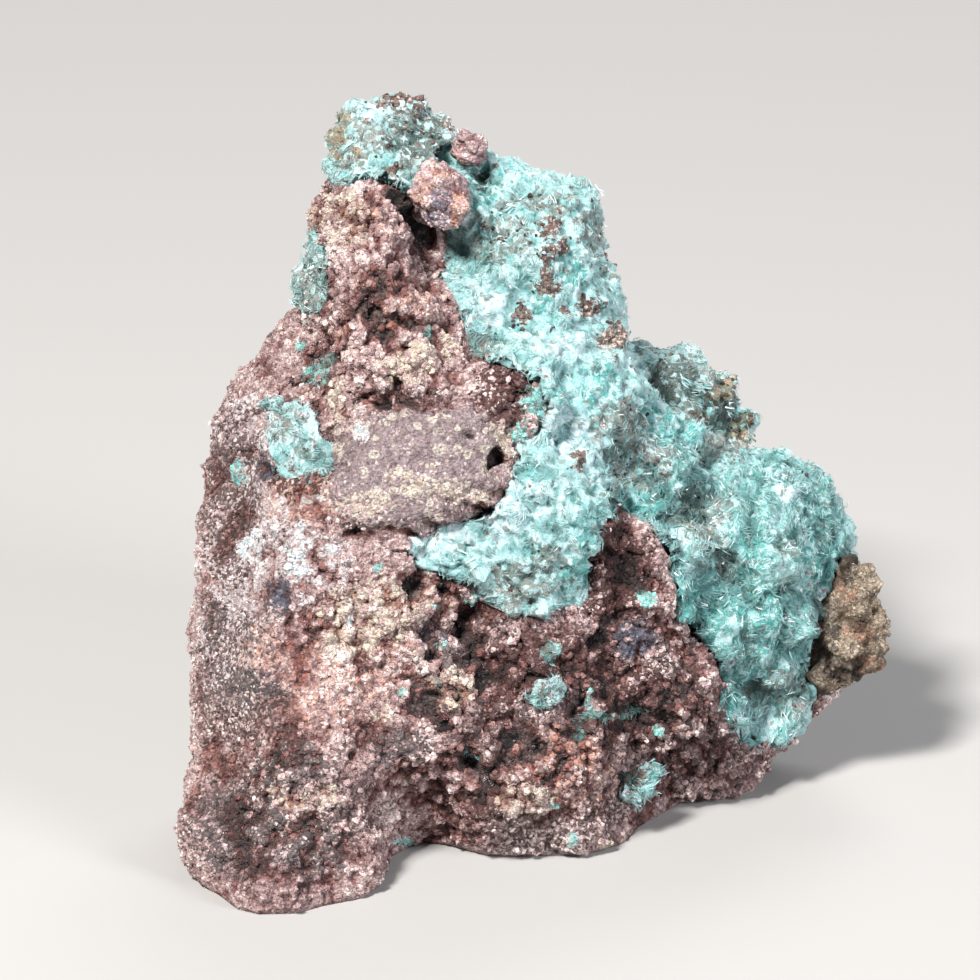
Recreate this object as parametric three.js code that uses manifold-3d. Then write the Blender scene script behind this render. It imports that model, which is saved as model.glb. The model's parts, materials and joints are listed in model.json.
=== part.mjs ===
// Aurichalcite on gossan: a hand-sized mineral specimen, about 50 mm wide, 40 mm deep and 47 mm tall.
//
// A block of granular red-brown gossan stands on its flat base and rises to a narrow peak. A blue-green
// crust of aurichalcite runs from the summit down the right-hand side and over a lobe that hangs out to
// the right. Small patches and sprays of the same mineral, two limonite nodules, an ochre knob and a
// druse-coated lobe behind are pieces of their own, each seated in a hollow of the rock.
//
// Units are millimetres. +Z is up, -Y is the display side, and the origin lies on the flat base. The
// display face leans back, so its features are laid out in face coordinates: across (to the right), up
// (up the face) and depth (into the rock).

import * as THREE from "three";
import { ImprovedNoise } from "three/addons/math/ImprovedNoise.js";
import { mergeVertices } from "three/addons/utils/BufferGeometryUtils.js";
import Module from "manifold-3d";

const wasm = await Module();
wasm.setup();

// ---------------------------------------------------------------- driving dimensions

const FACE_LEAN = THREE.MathUtils.degToRad(20); // how far the display face leans back
const CRUST_THICKNESS = 2.8; // of the main aurichalcite crust
const PATCH_THICKNESS = 1.6; // of the small aurichalcite patches
const SEAM = 0.45; // gap left between a piece and the rock that holds it

// Spacing of the nets that turn the shapes into facets.
const ROCK_CELL = 2.15;
const SUMMIT_CELL = 1.7; // the rock's up and down spacing at the summit, where features are smallest
const BACK_CELL = 3.2; // the rock's front to back spacing at the back, where there is less to show
const CRUST_CELL = 2.6;
const PATCH_CELL = 1.2;

// Unevenness of the rock: how high the waves stand, and how far apart they are.
const BROAD_WAVES = { height: 0.75, apart: 7.5 };
const SMALL_WAVES = { height: 0.5, apart: 3.4 };
const CRUST_EDGE_WAVES = { height: 0.5, apart: 3.2 };
const KNOBS_APART = 1.9; // on the rounded pieces

// How far the corners are rounded.
const FACE_EDGE_ROUNDING = 3.2; // between the display face and the sides
const BACK_EDGE_ROUNDING = 2.0; // between the sides and the back
const FRACTURE_ROUNDING = 1.2; // between one fracture and the next
const CRUST_EDGE_ROUNDING = 1.0;
const BALL_BLEND = 1.2; // between the balls of a rounded piece

// Silhouette of the block as the display side shows it, as [across, up], clockwise from the summit.
const BLOCK_OUTLINE = [
  [-10.9, 51.8], [-7.6, 52.3], [-5.6, 51.7], [-2.4, 49.3], [-0.2, 47.6], [2.4, 46.5],
  [4.8, 46.1], [6.8, 45.9], [7.6, 45.0], [7.8, 40.6], [9.0, 39.4], [9.3, 37.4],
  [9.9, 34.4], [10.8, 31.4], [12.4, 30.2], [14.8, 29.2], [16.6, 27.6], [19.0, 27.1],
  [21.6, 26.6], [24.0, 24.9], [25.9, 21.8], [26.5, 18.6], [26.1, 14.6], [24.9, 11.2],
  [23.9, 9.0], [21.7, 6.7], [19.7, 4.8], [18.2, 3.2], [15.8, 2.5], [13.4, 2.6],
  [11.8, 1.4], [9.8, -0.2], [8.2, -1.0], [5.0, -0.9], [0.6, -1.5], [-2.4, -1.2],
  [-4.2, 0.0], [-5.6, -0.9], [-7.2, -2.2], [-8.8, -4.2], [-11.4, -5.0], [-15.0, -5.2],
  [-17.6, -4.6], [-19.8, -3.2], [-21.2, 0.2], [-21.4, 2.2], [-20.9, 6.0], [-20.5, 12.0],
  [-20.4, 17.0], [-20.3, 23.0], [-19.6, 28.0], [-18.3, 32.0], [-16.2, 34.5], [-13.9, 36.2],
  [-13.5, 39.8], [-12.5, 42.6], [-12.3, 44.6], [-11.1, 46.0],
];

// Depth of the display face behind its front plane at named places: [across, up, depth].
const FACE_DEPTHS = {
  footLeft: [-19.0, -0.5, -9.0],
  foot: [-14.5, -2.5, -12.6],
  footRight: [-9.6, -1.6, -10.2],
  lowerLeftFace: [-13.1, 5.7, -11.0],
  leftWallLow: [-20.0, 5.7, -5.0],
  leftFace: [-14.0, 14.0, -9.6],
  leftWallMiddle: [-19.6, 15.3, -3.5],
  leftWallHigh: [-19.2, 25.0, -1.5],
  leftShoulder: [-16.5, 30.5, -2.5],
  shoulderTop: [-14.8, 34.3, 1.5],
  leftPatch: [-13.1, 27.8, -6.2],
  plateLeft: [-10.3, 23.6, -8.6],
  plateMiddle: [-4.1, 27.1, -8.6],
  plateRight: [0.7, 25.7, -8.0],
  plateTopRight: [1.4, 31.0, -7.2],
  columnLow: [-6.9, 34.0, -8.4],
  columnMiddle: [-7.6, 39.5, -8.0],
  columnTop: [-8.3, 43.6, -6.6],
  columnLeftEdge: [-12.4, 40.2, -3.6],
  summitLow: [-7.6, 47.4, -2.4],
  summitTop: [-6.9, 50.6, 0.6],
  hollowByNodule: [-3.6, 41.0, -1.8],
  sheetTop: [4.8, 45.0, -0.8],
  sheetMiddle: [3.4, 38.8, -3.4],
  sheetLeft: [-0.6, 36.6, -3.4],
  ridge: [8.4, 36.4, -1.6],
  sheetLow: [6.9, 30.5, -4.8],
  centreCrust: [4.8, 22.2, -7.6],
  centreCrustLeft: [-3.4, 20.2, -7.2],
  underPlate: [-8.0, 18.0, -8.6],
  vugBand: [-1.0, 14.6, -6.0],
  lowerCentre: [-4.0, 9.0, -8.0],
  lowerCentreRight: [4.8, 8.4, -5.8],
  toe: [0.7, 2.6, -6.2],
  toeBottom: [2.1, -0.6, -3.2],
  groove: [-4.3, 0.4, -3.2],
  brownSaddle: [10.0, 18.1, -3.0],
  rightLow: [12.6, 9.8, -0.8],
  rightToe: [14.5, 4.3, 3.6],
  valley: [11.7, 25.7, -0.6],
  lobeTop: [16.2, 26.4, 5.0],
  lobeMiddle: [18.8, 18.4, 1.6],
  lobeRight: [24.6, 18.6, 7.5],
  lobeBottom: [20.0, 9.6, 5.6],
};
const FACE_SPREAD = 2.6; // how far each of those depths reaches before its neighbours take over
const WIDEST_AFTER = 6.0; // the block is widest this far behind its face
const FRONT_DRAW_IN = 3.0; // how far its sides draw in towards the face, but not at the foot
const FOOT_TOP = 10; // height at which the foot has given way to that
const BACK_DRAW_IN = 0.8; // and how far they draw in for each such depth towards the back

// Flat fractures that square off the back: the way each one faces in the part's frame, and how far it
// lies from the middle of the rock.
const ROCK_MIDDLE = [0, 8, 18];
const FRACTURES = [
  { faces: [0.08, 1.0, -0.1], at: 15.4 },
  { faces: [-0.5, 0.8, -0.25], at: 14.4 },
  { faces: [0.05, 0.9, -0.4], at: 16.0 },
  { faces: [0.35, 0.9, 0.3], at: 22.4 },
  { faces: [-0.75, 0.65, 0.15], at: 23.8 },
  { faces: [0.45, 0.6, -0.6], at: 25.4 },
  { faces: [-0.15, 0.75, 0.65], at: 31.6 },
];

// Knobs and hollows of the back: [x, y, z, radius, how far out], hollows negative.
const BACK_RELIEF = [
  [-10, 14, 10, 5.5, 1.8], [4, 22, 12, 5.0, 1.9], [-3, 21, 22, 4.5, -1.7], [8, 21, 20, 3.4, 1.4],
  [-14, 15, 24, 4.0, 1.5], [14, 18, 7, 4.6, -1.5], [-5, 19, 4, 4.2, -1.4], [0, 25, 31, 5.0, 1.6],
  [-9, 22, 36, 4.0, -1.4], [5, 24, 38, 3.0, 1.0], [-16, 12, 9, 3.6, 1.0], [18, 22, 15, 3.6, 1.4],
];

// The flat sandy plate in the middle of the face, and how far its edge stands proud.
const PLATE_OUTLINE = [
  [-10.6, 23.4], [-9.2, 27.6], [-6.6, 30.6], [-3.4, 31.4], [-0.4, 31.0], [0.6, 28.4],
  [0.2, 26.8], [1.7, 25.4], [1.6, 24.4], [-0.2, 23.2], [-3.4, 22.0], [-8.6, 21.6],
];
const PLATE_LEDGE = 0.9;

// Where the main crust lies on the face. It runs past the silhouette at the top and right.
const CRUST_OUTLINE = [
  [-15.0, 46.0], [-15.0, 56.0], [2.0, 56.0], [14.0, 50.0], [14.0, 36.0], [20.0, 33.0],
  [31.0, 30.0], [31.0, 17.0], [26.0, 16.4], [24.0, 15.4], [22.8, 13.2], [23.2, 11.2],
  [22.4, 9.0], [20.6, 7.4], [18.2, 6.4], [16.6, 7.4], [16.2, 9.4], [16.6, 11.8],
  [15.2, 13.8], [12.8, 15.6], [12.8, 18.4], [12.0, 20.8], [9.4, 23.2], [7.8, 23.8],
  [7.5, 20.0], [6.8, 17.6], [6.2, 16.0], [2.8, 15.6], [0.2, 16.2], [-2.4, 18.6],
  [-4.6, 19.0], [-6.8, 20.4], [-6.6, 21.2], [-3.4, 21.7], [-0.2, 23.0], [1.8, 24.2],
  [2.0, 25.4], [1.4, 26.7], [3.0, 28.0], [4.6, 28.8], [3.6, 31.4], [2.0, 32.8],
  [-1.6, 33.3], [-2.0, 36.0], [-2.6, 39.4], [-4.0, 42.6], [-5.8, 44.8], [-8.0, 45.8],
];
const CRUST_WRAP = 3.0; // how far past the widest depth the crust runs round the back

const LEFT_PATCH_OUTLINE = [
  [-15.9, 30.6], [-14.9, 31.2], [-13.6, 30.2], [-12.6, 30.8], [-12.2, 29.0], [-11.4, 27.6],
  [-9.8, 27.0], [-10.6, 26.0], [-12.6, 25.2], [-14.0, 25.6], [-14.4, 27.2], [-15.4, 28.6],
];
const COLUMN_PATCH_OUTLINE = [
  [-15.0, 41.2], [-11.2, 41.4], [-11.0, 40.0], [-11.6, 38.8], [-11.0, 37.6], [-12.0, 36.6],
  [-15.0, 36.6],
];

// Pits in the gossan: [across, up, radius, how deep].
const PITS = [
  [-3.9, 42.2, 1.7, 2.6], [-3.2, 40.4, 1.5, 2.0], [0.8, 26.4, 0.9, 1.8],
  [-1.5, 15.6, 1.5, 2.2], [-3.6, 17.2, 1.0, 1.4], [-0.3, 11.4, 1.3, 2.2],
  [-3.6, 10.2, 1.1, 1.6], [-10.7, 33.4, 1.0, 1.4], [-6.6, 35.0, 1.2, 1.2],
  [8.0, 12.4, 1.4, 1.4], [11.0, 14.2, 1.2, 1.2],
];

// Lumps: [across, up, radius, how high].
const LUMPS = [
  [-7.0, 42.0, 3.4, 1.0], [-8.6, 37.4, 3.2, 0.9], [-5.2, 36.0, 2.4, 0.9],
  [-9.4, 33.0, 2.6, 0.9], [-3.4, 33.8, 2.0, 0.8], [2.6, 30.4, 2.0, 1.3],
  [9.0, 19.6, 2.2, 1.5], [11.2, 17.0, 1.9, 1.4], [10.4, 12.6, 2.4, 1.2],
  [4.4, 12.8, 2.4, 0.8], [14.6, 9.8, 2.4, 1.2], [-12.6, 9.0, 4.0, 0.8],
  [-15.0, 19.0, 4.5, 0.7], [3.0, 4.6, 3.6, 0.9], [-7.4, 5.2, 3.2, 0.7],
  [5.4, 21.6, 2.8, 0.9], [0.8, 19.4, 2.2, 0.7], [4.4, 33.6, 2.6, 0.6],
  [2.4, 41.6, 2.6, 0.8], [6.4, 43.4, 1.8, 0.8], [17.6, 22.6, 2.6, 1.2],
  [21.6, 21.0, 2.4, 1.1], [18.4, 16.0, 2.6, 1.1], [22.2, 15.6, 2.0, 0.9],
  [19.4, 11.4, 2.2, 1.0], [14.4, 24.0, 2.2, 0.9],
];

// Rounded pieces as groups of balls, [across, up, depth, radius], with knobs on their surface.
const SUMMIT_NODULE = {
  balls: [[-3.7, 45.3, -4.2, 1.7], [-2.7, 43.7, -4.4, 1.6], [-3.3, 44.4, -2.4, 1.8]],
  knobs: 0.35,
  cell: 1.2,
};
const CREST_NODULE = {
  balls: [[-1.2, 47.8, -0.6, 1.4], [-2.6, 48.7, 0.2, 1.2], [-1.9, 47.4, 1.2, 1.6]],
  knobs: 0.35,
  cell: 1.1,
};
const OCHRE_KNOB = {
  balls: [
    [24.6, 12.6, 7.8, 2.5], [25.8, 14.6, 8.6, 2.1], [25.6, 16.6, 9.2, 1.7], [25.4, 18.4, 9.6, 1.5],
    [23.2, 14.2, 10.4, 2.8],
  ],
  knobs: 0.6,
  cell: 1.5,
};
const REAR_LOBE = {
  balls: [
    [11.0, 31.7, 12.6, 3.5], [14.0, 30.4, 13.4, 3.5], [16.2, 28.4, 12.8, 2.4], [12.0, 28.0, 10.4, 4.2],
    [9.6, 33.4, 13.0, 1.7], [17.2, 30.4, 14.2, 1.2], [13.2, 33.0, 15.0, 1.5],
  ],
  knobs: 0.8,
  cell: 2.2,
};
const UPPER_FAN = {
  balls: [[4.3, 11.2, -6.2, 0.9], [3.8, 10.4, -6.3, 0.9], [2.9, 9.9, -6.2, 0.7], [4.9, 10.2, -5.9, 0.6]],
  knobs: 0.2,
  cell: 0.8,
};
const LOWER_FAN = {
  balls: [[10.0, 3.2, -0.7, 1.0], [10.8, 4.2, -0.2, 1.0], [11.5, 5.1, 0.2, 0.8], [9.4, 4.2, -0.6, 0.7]],
  knobs: 0.2,
  cell: 0.9,
};

const COLOURS = {
  gossan: "#8a5f58",
  aurichalcite: "#7fc4bf",
  nodule: "#8f5b4d",
  ochre: "#a88a63",
  druse: "#8fa3a3",
};

// ---------------------------------------------------------------- shapes as signed distances

const leanCos = Math.cos(FACE_LEAN);
const leanSin = Math.sin(FACE_LEAN);
const toFace = (x, y, z) => [x, y * leanSin + z * leanCos, y * leanCos - z * leanSin];
const toPart = (across, up, depth) =>
  new THREE.Vector3(across, up * leanSin + depth * leanCos, up * leanCos - depth * leanSin);

const noise = new ImprovedNoise();
const wave = (x, y, z, apart) => noise.noise(x / apart, y / apart, z / apart);

// Larger and smaller of two distances, with the corner between them rounded.
function smoothMax(a, b, radius) {
  const overlap = Math.max(radius - Math.abs(a - b), 0) / radius;
  return Math.max(a, b) + (overlap * overlap * radius) / 4;
}
const smoothMin = (a, b, radius) => -smoothMax(-a, -b, radius);

// Distance from a point of the face to a closed outline, negative inside.
function outlineDistance(outline, across, up) {
  let nearest = Infinity;
  let inside = false;
  for (let i = 0, j = outline.length - 1; i < outline.length; j = i, i += 1) {
    const [ax, ay] = outline[i];
    const [bx, by] = outline[j];
    const ex = bx - ax;
    const ey = by - ay;
    const wx = across - ax;
    const wy = up - ay;
    const t = THREE.MathUtils.clamp((wx * ex + wy * ey) / (ex * ex + ey * ey), 0, 1);
    nearest = Math.min(nearest, (wx - ex * t) ** 2 + (wy - ey * t) ** 2);
    if (ay > up !== by > up && across < (ex * (up - ay)) / ey + ax) inside = !inside;
  }
  return (inside ? -1 : 1) * Math.sqrt(nearest);
}

// Depth of the display face at a place on it.
const depthStations = Object.values(FACE_DEPTHS);
function faceDepth(across, up) {
  let total = 0;
  let weights = 0;
  for (const [a, u, depth] of depthStations) {
    const squared = ((across - a) ** 2 + (up - u) ** 2) / FACE_SPREAD ** 2;
    const weight = 1 / (0.15 + squared) ** 2.5;
    total += weight * depth;
    weights += weight;
  }
  let depth = total / weights;
  for (const [a, u, radius, height] of LUMPS) {
    depth -= height * Math.exp(-((across - a) ** 2 + (up - u) ** 2) / radius ** 2);
  }
  for (const [a, u, radius, deep] of PITS) {
    depth += deep * Math.exp(-((across - a) ** 2 + (up - u) ** 2) / radius ** 2);
  }
  const onPlate = THREE.MathUtils.smoothstep(-outlineDistance(PLATE_OUTLINE, across, up), -0.5, 0.5);
  return depth - onPlate * PLATE_LEDGE;
}

// Distance to the fractured back.
const fractures = FRACTURES.map(({ faces, at }) => ({ normal: new THREE.Vector3(...faces).normalize(), at }));
const rockMiddle = new THREE.Vector3(...ROCK_MIDDLE);
function fracturedBack(x, y, z) {
  const place = new THREE.Vector3(x, y, z).sub(rockMiddle);
  return fractures.map(({ normal, at }) => place.dot(normal) - at)
    .reduce((farthest, distance) => smoothMax(farthest, distance, FRACTURE_ROUNDING));
}

// The whole rock, crust included, before its base is cut flat.
function rock(x, y, z) {
  const [across, up, depth] = toFace(x, y, z);
  const front = faceDepth(across, up);
  const pastWidest = (depth - front) / WIDEST_AFTER - 1;
  const frontDrawIn = FRONT_DRAW_IN * THREE.MathUtils.smoothstep(up, 0, FOOT_TOP);
  const drawnIn = pastWidest < 0 ? frontDrawIn * pastWidest ** 2 : BACK_DRAW_IN * pastWidest;
  const side = outlineDistance(BLOCK_OUTLINE, across, up) + drawnIn;
  const faceAndSides = smoothMax(side, front - depth, FACE_EDGE_ROUNDING);
  let distance = smoothMax(faceAndSides, fracturedBack(x, y, z), BACK_EDGE_ROUNDING);
  for (const [bx, by, bz, radius, out] of BACK_RELIEF) {
    distance -= out * Math.exp(-((x - bx) ** 2 + (y - by) ** 2 + (z - bz) ** 2) / radius ** 2);
  }
  for (const { height, apart } of [BROAD_WAVES, SMALL_WAVES]) distance -= height * wave(x, y, z, apart);
  return distance;
}

// A layer of the rock's skin, thick deep, inside an outline on its face. It has no outer bound: the rock
// it is shared with gives it that.
function skin(outline, thick, wrap) {
  return (x, y, z) => {
    const [across, up, depth] = toFace(x, y, z);
    const wander = wave(x, y, z, CRUST_EDGE_WAVES.apart);
    const region = outlineDistance(outline, across, up) + CRUST_EDGE_WAVES.height * wander;
    const behind = depth - (faceDepth(across, up) + WIDEST_AFTER + wrap) + 2 * wander;
    return smoothMax(Math.max(region, behind), -(rock(x, y, z) + thick), CRUST_EDGE_ROUNDING);
  };
}

// A group of balls grown together, with a knobbly surface.
function grownTogether(balls, knobs) {
  const placed = balls.map(([across, up, depth, radius]) => ({ centre: toPart(across, up, depth), radius }));
  return (x, y, z) => {
    const distances = placed.map(({ centre, radius }) =>
      Math.hypot(x - centre.x, y - centre.y, z - centre.z) - radius);
    const smooth = distances.reduce((nearest, distance) => smoothMin(nearest, distance, BALL_BLEND));
    return smooth - knobs * wave(x, y, z, KNOBS_APART);
  };
}

// ---------------------------------------------------------------- from a distance to facets

// Corners of a cell that are inside the shape may meet other inside corners only across a diagonal. The
// net would be pinched there, so a corner between them is moved inside, until no such place is left.
function fillPinches(values, [nx, ny, nz], at) {
  const justInside = -1e-3;
  const inside = (corner) => values[at(...corner)] < 0;
  const fill = (corner) => {
    values[at(...corner)] = justInside;
    return true;
  };
  // The four corners of a square, in order round it.
  const openSquare = (a, b, c, d) => {
    if (inside(a) === inside(b) || inside(a) !== inside(c) || inside(b) !== inside(d)) return false;
    return fill(inside(a) ? b : a);
  };
  const openCell = (i, j, k) => {
    let opened = openSquare([i, j, k], [i + 1, j, k], [i + 1, j + 1, k], [i, j + 1, k]);
    opened = openSquare([i, j, k], [i + 1, j, k], [i + 1, j, k + 1], [i, j, k + 1]) || opened;
    opened = openSquare([i, j, k], [i, j + 1, k], [i, j + 1, k + 1], [i, j, k + 1]) || opened;
    const corners = [0, 1].flatMap((c) => [0, 1].flatMap((b) => [0, 1].map((a) => [i + a, j + b, k + c])));
    const within = corners.filter(inside).length;
    for (const near of corners.slice(0, 4)) {
      const far = [2 * i + 1 - near[0], 2 * j + 1 - near[1], k + 1];
      if (within === 2 && inside(near) && inside(far)) opened = fill([far[0], far[1], k]);
      if (within === 6 && !inside(near) && !inside(far)) opened = fill(near);
    }
    return opened;
  };
  let changed = true;
  while (changed) {
    changed = false;
    for (let k = 0; k < nz - 1; k += 1) {
      for (let j = 0; j < ny - 1; j += 1) {
        for (let i = 0; i < nx - 1; i += 1) changed = openCell(i, j, k) || changed;
      }
    }
  }
}

// Places of the net's lines from one end of a box to the other. The cells grow evenly to lastCell.
function linesBetween(start, end, cell, lastCell = cell) {
  const lines = [start];
  while (lines.at(-1) < end) {
    const share = (lines.at(-1) - start) / (end - start);
    lines.push(lines.at(-1) + THREE.MathUtils.lerp(cell, lastCell, share));
  }
  return lines;
}

// Facets of the surface where shape is zero, on a net of cells over the box, as a manifold-3d solid.
function net(shape, box, cell, { backCell = cell, topCell = cell } = {}) {
  const xs = linesBetween(box.min.x, box.max.x, cell);
  const ys = linesBetween(box.min.y, box.max.y, cell, backCell);
  const zs = linesBetween(box.min.z, box.max.z, cell, topCell);
  const counts = [xs.length, ys.length, zs.length];
  const [nx, ny, nz] = counts;
  const at = (i, j, k) => i + nx * (j + ny * k);
  const point = (i, j, k) => [xs[i], ys[j], zs[k]];
  const values = new Float64Array(nx * ny * nz);
  for (let k = 0; k < nz; k += 1) {
    for (let j = 0; j < ny; j += 1) {
      for (let i = 0; i < nx; i += 1) {
        const border = i === 0 || j === 0 || k === 0 || i === nx - 1 || j === ny - 1 || k === nz - 1;
        values[at(i, j, k)] = border ? 1 : shape(...point(i, j, k));
      }
    }
  }
  fillPinches(values, counts, at);

  const vertices = [];
  const vertexOf = new Int32Array(values.length).fill(-1);
  for (let k = 0; k < nz - 1; k += 1) {
    for (let j = 0; j < ny - 1; j += 1) {
      for (let i = 0; i < nx - 1; i += 1) {
        const sum = new THREE.Vector3();
        let crossings = 0;
        const along = (a, b) => {
          const va = values[at(...a)];
          const vb = values[at(...b)];
          if (va < 0 === vb < 0) return;
          const t = va / (va - vb);
          sum.add(new THREE.Vector3(...point(...a)).lerp(new THREE.Vector3(...point(...b)), t));
          crossings += 1;
        };
        for (let a = 0; a < 2; a += 1) {
          for (let b = 0; b < 2; b += 1) {
            along([i, j + a, k + b], [i + 1, j + a, k + b]);
            along([i + a, j, k + b], [i + a, j + 1, k + b]);
            along([i + a, j + b, k], [i + a, j + b, k + 1]);
          }
        }
        if (crossings) {
          vertexOf[at(i, j, k)] = vertices.length;
          vertices.push(sum.divideScalar(crossings));
        }
      }
    }
  }

  // Each vertex is drawn towards the true surface, which sharpens ridges that the net has rounded.
  const reach = 0.3 * cell;
  const nudge = 0.05;
  const flat = 0.1;
  for (const v of vertices) {
    const start = v.clone();
    for (let step = 0; step < 2; step += 1) {
      const value = shape(v.x, v.y, v.z);
      const slope = new THREE.Vector3(
        shape(v.x + nudge, v.y, v.z) - value,
        shape(v.x, v.y + nudge, v.z) - value,
        shape(v.x, v.y, v.z + nudge) - value,
      ).divideScalar(nudge);
      if (slope.length() > flat) v.addScaledVector(slope, -value / slope.lengthSq());
      v.sub(start).clampLength(0, reach).add(start);
    }
  }

  const faces = [];
  const quad = (a, b, c, d, flip) => {
    const [p, q, r, s] = [a, b, c, d].map((index) => vertexOf[index]);
    const shortPR = vertices[p].distanceToSquared(vertices[r]) < vertices[q].distanceToSquared(vertices[s]);
    const two = shortPR ? [[p, q, r], [p, r, s]] : [[p, q, s], [q, r, s]];
    for (const [u, v, w] of two) faces.push(...(flip ? [u, w, v] : [u, v, w]));
  };
  for (let k = 0; k < nz - 1; k += 1) {
    for (let j = 0; j < ny - 1; j += 1) {
      for (let i = 0; i < nx - 1; i += 1) {
        const here = values[at(i, j, k)] < 0;
        const cells = (...steps) => steps.map(([a, b, c]) => at(i - a, j - b, k - c));
        if (here !== values[at(i + 1, j, k)] < 0)
          quad(...cells([0, 1, 1], [0, 0, 1], [0, 0, 0], [0, 1, 0]), !here);
        if (here !== values[at(i, j + 1, k)] < 0)
          quad(...cells([1, 0, 1], [0, 0, 1], [0, 0, 0], [1, 0, 0]), here);
        if (here !== values[at(i, j, k + 1)] < 0)
          quad(...cells([1, 1, 0], [0, 1, 0], [0, 0, 0], [1, 0, 0]), !here);
      }
    }
  }
  return solidOf(new Float32Array(vertices.flatMap((v) => [v.x, v.y, v.z])), new Uint32Array(faces));
}

// Corner places and triangles as a manifold-3d solid, and a solid as a three.js geometry.
function solidOf(corners, triangles) {
  return new wasm.Manifold(new wasm.Mesh({ numProp: 3, vertProperties: corners, triVerts: triangles }));
}

function geometryOf(solid) {
  const made = solid.getMesh();
  const geometry = new THREE.BufferGeometry();
  geometry.setAttribute("position", new THREE.BufferAttribute(made.vertProperties, 3));
  geometry.setIndex(new THREE.BufferAttribute(made.triVerts, 1));
  geometry.computeVertexNormals();
  return geometry;
}

// A solid with every corner moved outwards: the space that the solid and a seam round it take up.
function grown(solid, by) {
  const geometry = geometryOf(solid);
  const { position, normal } = geometry.attributes;
  const corners = position.array.map((value, i) => value + by * normal.array[i]);
  return solidOf(corners, geometry.index.array);
}

function namedMesh(name, solid, colour, roughness) {
  const material = new THREE.MeshStandardMaterial({ color: colour, roughness, metalness: 0 });
  const mesh = new THREE.Mesh(geometryOf(solid), material);
  mesh.name = name;
  return mesh;
}

// ---------------------------------------------------------------- the specimen

const wholeBox = new THREE.Box3(new THREE.Vector3(-25, -20, -5), new THREE.Vector3(31, 36, 55));
const wholeRock = net(rock, wholeBox, ROCK_CELL, { backCell: BACK_CELL, topCell: SUMMIT_CELL });
const groundBlock = new THREE.BoxGeometry(120, 120, 20).translate(0, 0, -10);
groundBlock.deleteAttribute("normal");
groundBlock.deleteAttribute("uv");
const groundCorners = mergeVertices(groundBlock);
const ground = solidOf(groundCorners.attributes.position.array, new Uint32Array(groundCorners.index.array));

// The box that holds a part of the face, from an outline or from balls, with room round it.
function boxOfOutline(outline, room) {
  const box = new THREE.Box3();
  for (const [across, up] of outline) {
    box.expandByPoint(toPart(across, up, -14));
    box.expandByPoint(toPart(across, up, 24));
  }
  return box.intersect(wholeBox).expandByScalar(room);
}

function boxOfBalls(balls, room) {
  const box = new THREE.Box3();
  for (const [across, up, depth, radius] of balls) {
    const centre = toPart(across, up, depth);
    box.expandByPoint(centre.clone().addScalar(radius));
    box.expandByPoint(centre.clone().addScalar(-radius));
  }
  return box.expandByScalar(room);
}

// Rounded pieces come first: each is whole, and leaves its socket in what holds it.
function roundedPiece({ balls, knobs, cell }) {
  const shape = grownTogether(balls, knobs);
  const box = boxOfBalls(balls, 2 * cell);
  const piece = net(shape, box, cell);
  return { piece, socket: grown(piece, SEAM) };
}
const summitNodule = roundedPiece(SUMMIT_NODULE);
const crestNodule = roundedPiece(CREST_NODULE);
const ochreKnob = roundedPiece(OCHRE_KNOB);
const rearLobe = roundedPiece(REAR_LOBE);
const upperFan = roundedPiece(UPPER_FAN);
const lowerFan = roundedPiece(LOWER_FAN);
const rounded = [summitNodule, crestNodule, ochreKnob, rearLobe, upperFan, lowerFan];

// Crusts are layers of the rock's skin, so their outer faces carry on the rock's own.
function crustPiece(outline, thick, wrap, cell) {
  const shape = skin(outline, thick, wrap);
  const box = boxOfOutline(outline, 2 * cell);
  const layer = net(shape, box, cell);
  return { layer, bed: grown(layer, SEAM) };
}
const mainCrust = crustPiece(CRUST_OUTLINE, CRUST_THICKNESS, CRUST_WRAP, CRUST_CELL);
const leftPatch = crustPiece(LEFT_PATCH_OUTLINE, PATCH_THICKNESS, 0, PATCH_CELL);
const columnPatch = crustPiece(COLUMN_PATCH_OUTLINE, PATCH_THICKNESS, 0, PATCH_CELL);
const crusts = [mainCrust, leftPatch, columnPatch];

const cutAll = (solid, cutters) => cutters.reduce((left, cutter) => left.subtract(cutter), solid);
const sockets = rounded.map(({ socket }) => socket);
const stone = wholeRock.subtract(ground);
const crustOf = ({ layer }) => cutAll(stone.intersect(layer), sockets);
const gossan = cutAll(stone, [...crusts.map(({ bed }) => bed), ...sockets]);

const specimen = new THREE.Group();
specimen.name = "aurichalcite_specimen";
specimen.add(
  namedMesh("gossan_matrix", gossan, COLOURS.gossan, 0.9),
  namedMesh("aurichalcite_crust", crustOf(mainCrust), COLOURS.aurichalcite, 0.55),
  namedMesh("left_aurichalcite_patch", crustOf(leftPatch), COLOURS.aurichalcite, 0.55),
  namedMesh("column_aurichalcite_patch", crustOf(columnPatch), COLOURS.aurichalcite, 0.55),
  namedMesh("summit_nodule", summitNodule.piece, COLOURS.nodule, 0.8),
  namedMesh("crest_nodule", crestNodule.piece, COLOURS.nodule, 0.8),
  namedMesh("ochre_knob", ochreKnob.piece, COLOURS.ochre, 0.85),
  namedMesh("rear_druse_lobe", rearLobe.piece, COLOURS.druse, 0.5),
  namedMesh("upper_aurichalcite_fan", upperFan.piece, COLOURS.aurichalcite, 0.5),
  namedMesh("lower_aurichalcite_fan", lowerFan.piece, COLOURS.aurichalcite, 0.5),
);

export default specimen;
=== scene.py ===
"""An aurichalcite specimen: a crust of felted blue-green needles on a lump of iron-stained gossan.

Sizes are in millimetres and are turned to metres with MM. The display face leans back by FACE_LEAN
from upright, and the marks on it are placed across and up that face.
"""

import json
import math

import bpy
import numpy as np
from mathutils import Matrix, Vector, noise
from mathutils.bvhtree import BVHTree

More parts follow.
